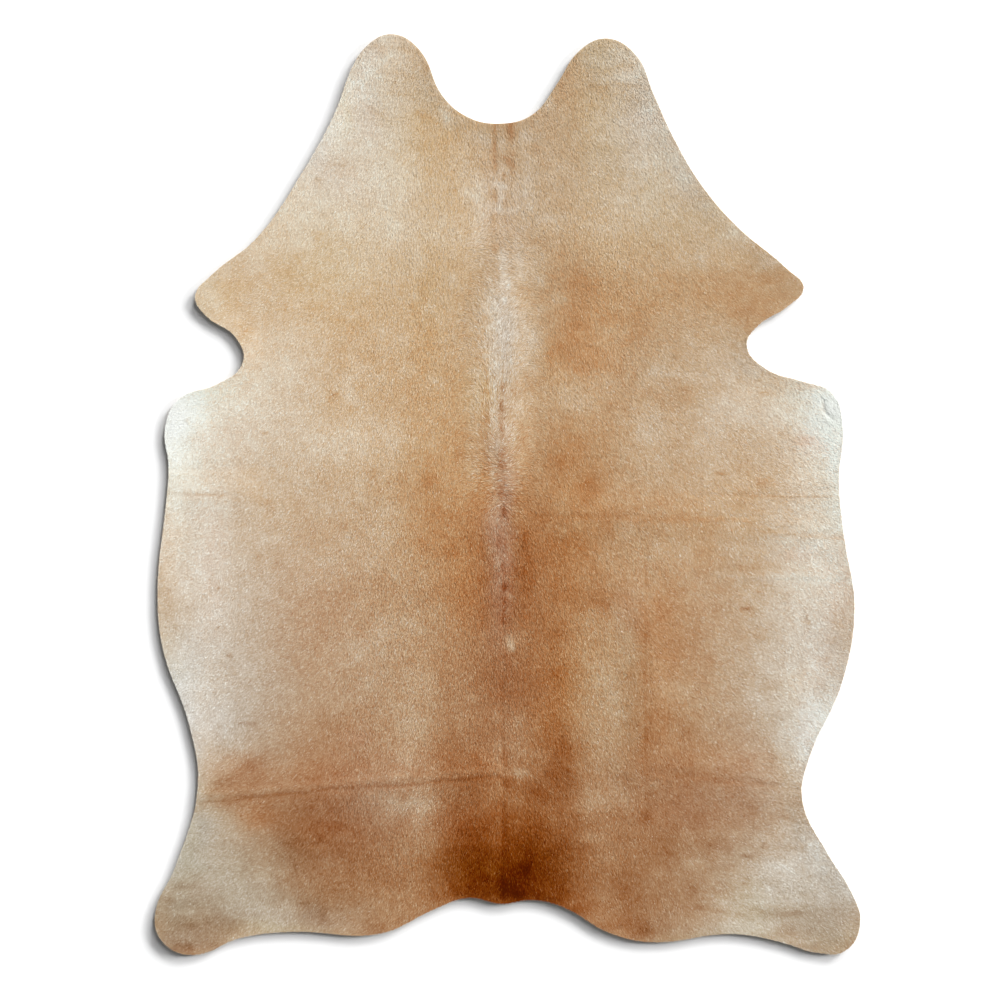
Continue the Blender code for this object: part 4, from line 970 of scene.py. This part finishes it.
def lock_roots(mesh, count):
    """Even but irregular places on the hair side, with the skin's slope at each."""
    mesh.calc_loop_triangles()
    corners = np.zeros(len(mesh.loop_triangles) * 3, np.int32)
    sides = np.zeros(len(mesh.loop_triangles), np.int32)
    mesh.loop_triangles.foreach_get("vertices", corners)
    mesh.loop_triangles.foreach_get("material_index", sides)
    corners = corners.reshape(-1, 3)[sides == 0]
    places = points_of(mesh)
    a, b, c = (places[corners[:, i]] for i in range(3))
    facing = np.cross(b - a, c - a)
    normals = np.zeros(places.shape)
    for i in range(3):
        np.add.at(normals, corners[:, i], facing)
    reached = np.cumsum(np.linalg.norm(facing, axis=1))
    steps = (np.arange(count) + chance.uniform(0, 1, count)) / count * reached[-1]
    chosen = corners[np.minimum(np.searchsorted(reached, steps), len(corners) - 1)]
    u = np.sqrt(chance.uniform(0, 1, count))
    v = chance.uniform(0, 1, count)
    shares = np.stack([1 - u, u * (1 - v), u * v], axis=-1)
    here = sum(places[chosen[:, i]] * shares[:, i:i + 1] for i in range(3))
    up = sum(normals[chosen[:, i]] * shares[:, i:i + 1] for i in range(3))
    return here, up / np.linalg.norm(up, axis=1, keepdims=True)


def hair_direction(across, along, scatter):
    """Which way the hair lies: to the tail and outwards, but fanned forwards in the feather."""
    off_spine = across - SPINE_ACROSS + clouds(across, along, [PARTING_CLOUD]) + scatter
    lean = LEAN_AT_SPINE + LEAN_ADDED * (1 - fade(np.abs(off_spine), LEAN_REACH))
    forward = np.sqrt(fade(np.abs(along - FEATHER_ALONG), FEATHER_LENGTH))
    forward *= np.exp(-(off_spine / FEATHER_WIDTH) ** 4)
    lean *= np.tanh(np.abs(off_spine) / LEAN_STARTS) * (1 - forward)
    lean += FEATHER_LEAN * forward
    lean = np.radians(lean * np.sign(off_spine) + clouds(across, along, LEAN_CLOUDS))
    return np.sin(lean), -np.cos(lean)


roots, ups = lock_roots(skin_mesh, LOCKS)
across = roots[:, 0] / MM
along = roots[:, 1] / MM
flow_across, flow_along = hair_direction(across, along, chance.normal(0, PARTING, LOCKS))
turn = np.radians(chance.normal(0, LOCK_TURN, LOCKS))
ahead = np.stack([flow_across * np.cos(turn) - flow_along * np.sin(turn),
                  flow_across * np.sin(turn) + flow_along * np.cos(turn),
                  np.zeros(LOCKS)], axis=-1)
ahead -= ups * np.sum(ahead * ups, axis=1, keepdims=True)
ahead /= np.linalg.norm(ahead, axis=1, keepdims=True)
sideways = np.cross(ahead, ups)
mixed = fade(np.abs(across - SPINE_ACROSS), MIXED_WIDTH)
mixed *= fade(np.abs(along - MIXED_ALONG), MIXED_LENGTH)
fineness = thinning(across, 1, FLANK_SHARE)
length = LOCK_LENGTH * MM * chance.uniform(0.7, 1.3, LOCKS) * (1 + MIXED_LONGER * mixed)
length *= fineness

# A tip that would pass the cut edge is drawn back to it, as if clipped with the skin.
trimmed = bmesh.new()
trimmed.from_mesh(skin_mesh)
rim_points = []
for edge in trimmed.edges:
    top = [face for face in edge.link_faces if face.material_index == 0]
    wall = [face for face in edge.link_faces if face.material_index == 1]
    if top and wall:
        outward = wall[0].normal
        start, end = (corner.co for corner in edge.verts)
        for place in (start, end, (start + end) / 2):
            rim_points.append((place.x, place.y, outward.x, outward.y))
trimmed.free()
rim = KDTree(len(rim_points))
square = 0.02                       # metres: the hide is seen as squares, to find those near it
middle = (50, 65)                   # squares from their corner to the middle of the hide
close_to_rim = np.zeros((2 * middle[0], 2 * middle[1]), bool)
for number, (x, y, _, _) in enumerate(rim_points):
    rim.insert((x, y, 0), number)
    column = int(x / square + middle[0])
    row = int(y / square + middle[1])
    close_to_rim[column - 2:column + 3, row - 2:row + 3] = True
rim.balance()
columns = (roots[:, 0] / square + middle[0]).astype(int)
rows = (roots[:, 1] / square + middle[1]).astype(int)
for number in np.flatnonzero(close_to_rim[columns, rows]):
    root_x, root_y = roots[number, :2]
    tip_x, tip_y = roots[number, :2] + ahead[number, :2] * length[number]
    x, y, out_x, out_y = rim_points[rim.find((tip_x, tip_y, 0))[1]]
    past = (tip_x - x) * out_x + (tip_y - y) * out_y
    if past > OVERHANG * MM:
        inside = max((x - root_x) * out_x + (y - root_y) * out_y, 0)
        length[number] *= max((inside + OVERHANG * MM) / (inside + past), SHORTEST_CLIP)

width = LOCK_WIDTH * MM * chance.uniform(0.6, 1.4, LOCKS) * fineness
rise = LOCK_RISE * MM * chance.uniform(0.6, 1.3, LOCKS)
rise *= np.minimum(length / (RISE_BELOW * MM), 1)
pile = thinning(across, PILE_AT_SPINE, PILE_AT_FLANK) * MM
low = (pile - rise) * chance.uniform(0, 1, LOCKS) ** 0.7
start = roots + ups * low[:, None]
spread = sideways * (width / 2)[:, None]
spread += ups * (width * chance.normal(0, LOCK_TWIST, LOCKS))[:, None]
tips = start + ahead * length[:, None] + ups * rise[:, None]
lock_points = np.stack([start - spread, start + spread, tips], axis=1)
own = np.cross(spread, tips - start)
own /= np.linalg.norm(own, axis=1, keepdims=True)
facing = ups * np.array([SKIN_SLOPE_SHADE, SKIN_SLOPE_SHADE, 1]) * (1 - LOCK_OWN_SHADE)
facing += own * LOCK_OWN_SHADE
facing /= np.linalg.norm(facing, axis=1, keepdims=True)

# Each hair is coloured by where its root and its tip lie, and differs a little from its
# neighbours; the root is darkened as painted shade and the tip lightened as painted light.
tail_share, tail_from, tail_over = MIX_TO_TAIL
mix = MIX_PLAIN + tail_share * np.clip((tail_from - along) / tail_over, 0, 1)
mix += MIX_TO_FLANK * np.abs(across) / FLANK_FROM_SPINE + MIX_MIXED * mixed
variation = chance.normal(0, 1, LOCKS) * mix
root_colours = coat_colour(across, along, variation) * ROOT_PAINTED_SHADE
tip_colours = coat_colour(tips[:, 0] / MM, tips[:, 1] / MM, variation) * TIP_PAINTED_LIGHT
lock_colours = np.stack([root_colours, root_colours, tip_colours], axis=1)


# Guard hair: keratin, coloured by its pigment and by the painted shade and light in the coat
# colour.  In a mass of crossing hairs it looks matt.
guard_hair = new_material("cattle guard hair")
coat_point = add_node(guard_hair, "ShaderNodeAttribute", {"attribute_name": "coat"}, {})
shader = add_node(guard_hair, "ShaderNodeBsdfPrincipled",
                  {"Roughness": 0.7, "Specular IOR Level": 0.02, "IOR": 1.55},
                  {"Base Color": (coat_point, "Color")})
add_node(guard_hair, "ShaderNodeOutputMaterial", {}, {"Surface": (shader, "BSDF")})


def coat_strip(name, chosen):
    """One strip of the coat, as a single mesh of locks."""
    points = lock_points[chosen].reshape(-1, 3)
    mesh = bpy.data.meshes.new(name)
    mesh.vertices.add(len(points))
    mesh.vertices.foreach_set("co", points.astype(np.float32).ravel())
    mesh.loops.add(len(points))
    mesh.loops.foreach_set("vertex_index", np.arange(len(points), dtype=np.int32))
    mesh.polygons.add(len(chosen))
    mesh.polygons.foreach_set("loop_start", np.arange(0, len(points), 3, dtype=np.int32))
    mesh.update(calc_edges=True)
    mesh.shade_smooth()
    mesh.normals_split_custom_set_from_vertices(np.repeat(facing[chosen], 3, axis=0))
    paint(mesh, "coat", lock_colours[chosen].reshape(-1, 3))
    flat = mesh.uv_layers.new(name="OFBake")    # seen from above, for the strip's own picture
    low = points[:, :2].min(axis=0)
    span = np.ptp(points[:, :2], axis=0)
    spots = (points[:, :2] - low) / span
    flat.data.foreach_set("uv", spots.astype(np.float32).ravel())
    mesh.materials.append(guard_hair)
    strip = bpy.data.objects.new(name, mesh)
    bpy.context.scene.collection.objects.link(strip)
    return strip


strips = []
order = np.argsort(roots[:, 0], kind="stable")
for strip_name, chosen in zip(STRIPS, np.array_split(order, len(STRIPS))):
    strips.append(coat_strip("coat_" + strip_name, np.sort(chosen)))

for piece in [hide_skin, *strips]:
    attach(piece, "root")
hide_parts("hide")

# ---------------------------------------------------------------------------------------------
# The studio: a white floor, a soft low light from the upper right, which throws the shadow to
# the lower left, and an even white fill.  The camera looks straight down.

FLOOR_REACH = 40.0      # metres to each side
FLOOR_DROP = 0.3        # millimetres under the hide
FILL = 0.135            # strength of the even fill
VIEW_MIDDLE = (-0.0176, -0.0129)    # metres from the middle of the hide
VIEW_WIDTH = 2.35       # metres of floor across the picture
LENS = 85               # millimetres, with the width of the film under it
SENSOR = 36
# One wide low soft box at the upper right, as three lamps side by side, and a fainter one over
# it: bearing to the right of straight ahead, height over the floor and spread in degrees, and
# strength
LAMPS = {
    "low soft light, right": (76, 14, 16, 3.82), "low soft light, middle": (46, 14, 16, 4.59),
    "low soft light, left": (20, 14, 16, 3.16), "upper soft light": (45, 34, 40, 1.68),
}

floor_shape = bmesh.new()
bmesh.ops.create_grid(floor_shape, x_segments=1, y_segments=1, size=FLOOR_REACH)
floor_mesh = bpy.data.meshes.new("floor")
floor_shape.to_mesh(floor_mesh)
floor_shape.free()
floor_mesh.transform(Matrix.Translation((0, 0, -FLOOR_DROP * MM)))
floor = bpy.data.objects.new("floor", floor_mesh)
bpy.context.scene.collection.objects.link(floor)
white_paint = new_material("matt white paint")
shader = add_node(white_paint, "ShaderNodeBsdfPrincipled",
                  {"Base Color": (0.9, 0.9, 0.9, 1), "Roughness": 1.0,
                   "Specular IOR Level": 0.0}, {})
add_node(white_paint, "ShaderNodeOutputMaterial", {}, {"Surface": (shader, "BSDF")})
floor_mesh.materials.append(white_paint)

for lamp_name, (bearing, height, spread_angle, strength) in LAMPS.items():
    lamp_data = bpy.data.lights.new(lamp_name, "SUN")
    lamp_data.energy = strength
    lamp_data.angle = radians(spread_angle)
    lamp = bpy.data.objects.new(lamp_name, lamp_data)
    bpy.context.scene.collection.objects.link(lamp)
    towards = Vector((-sin(radians(bearing)) * cos(radians(height)),
                      -cos(radians(bearing)) * cos(radians(height)),
                      -sin(radians(height))))
    lamp.rotation_euler = towards.to_track_quat("-Z", "Y").to_euler()

world = bpy.data.worlds.new("studio")
world.use_nodes = True
world.node_tree.nodes["Background"].inputs["Color"].default_value = (1, 1, 1, 1)
world.node_tree.nodes["Background"].inputs["Strength"].default_value = FILL
bpy.context.scene.world = world
bpy.context.scene.view_settings.view_transform = "Standard"

camera_data = bpy.data.cameras.new("camera")
camera_data.lens = LENS
camera_data.sensor_width = SENSOR
camera = bpy.data.objects.new("camera", camera_data)
camera.location = (*VIEW_MIDDLE, VIEW_WIDTH * LENS / SENSOR)
bpy.context.scene.collection.objects.link(camera)
bpy.context.scene.camera = camera
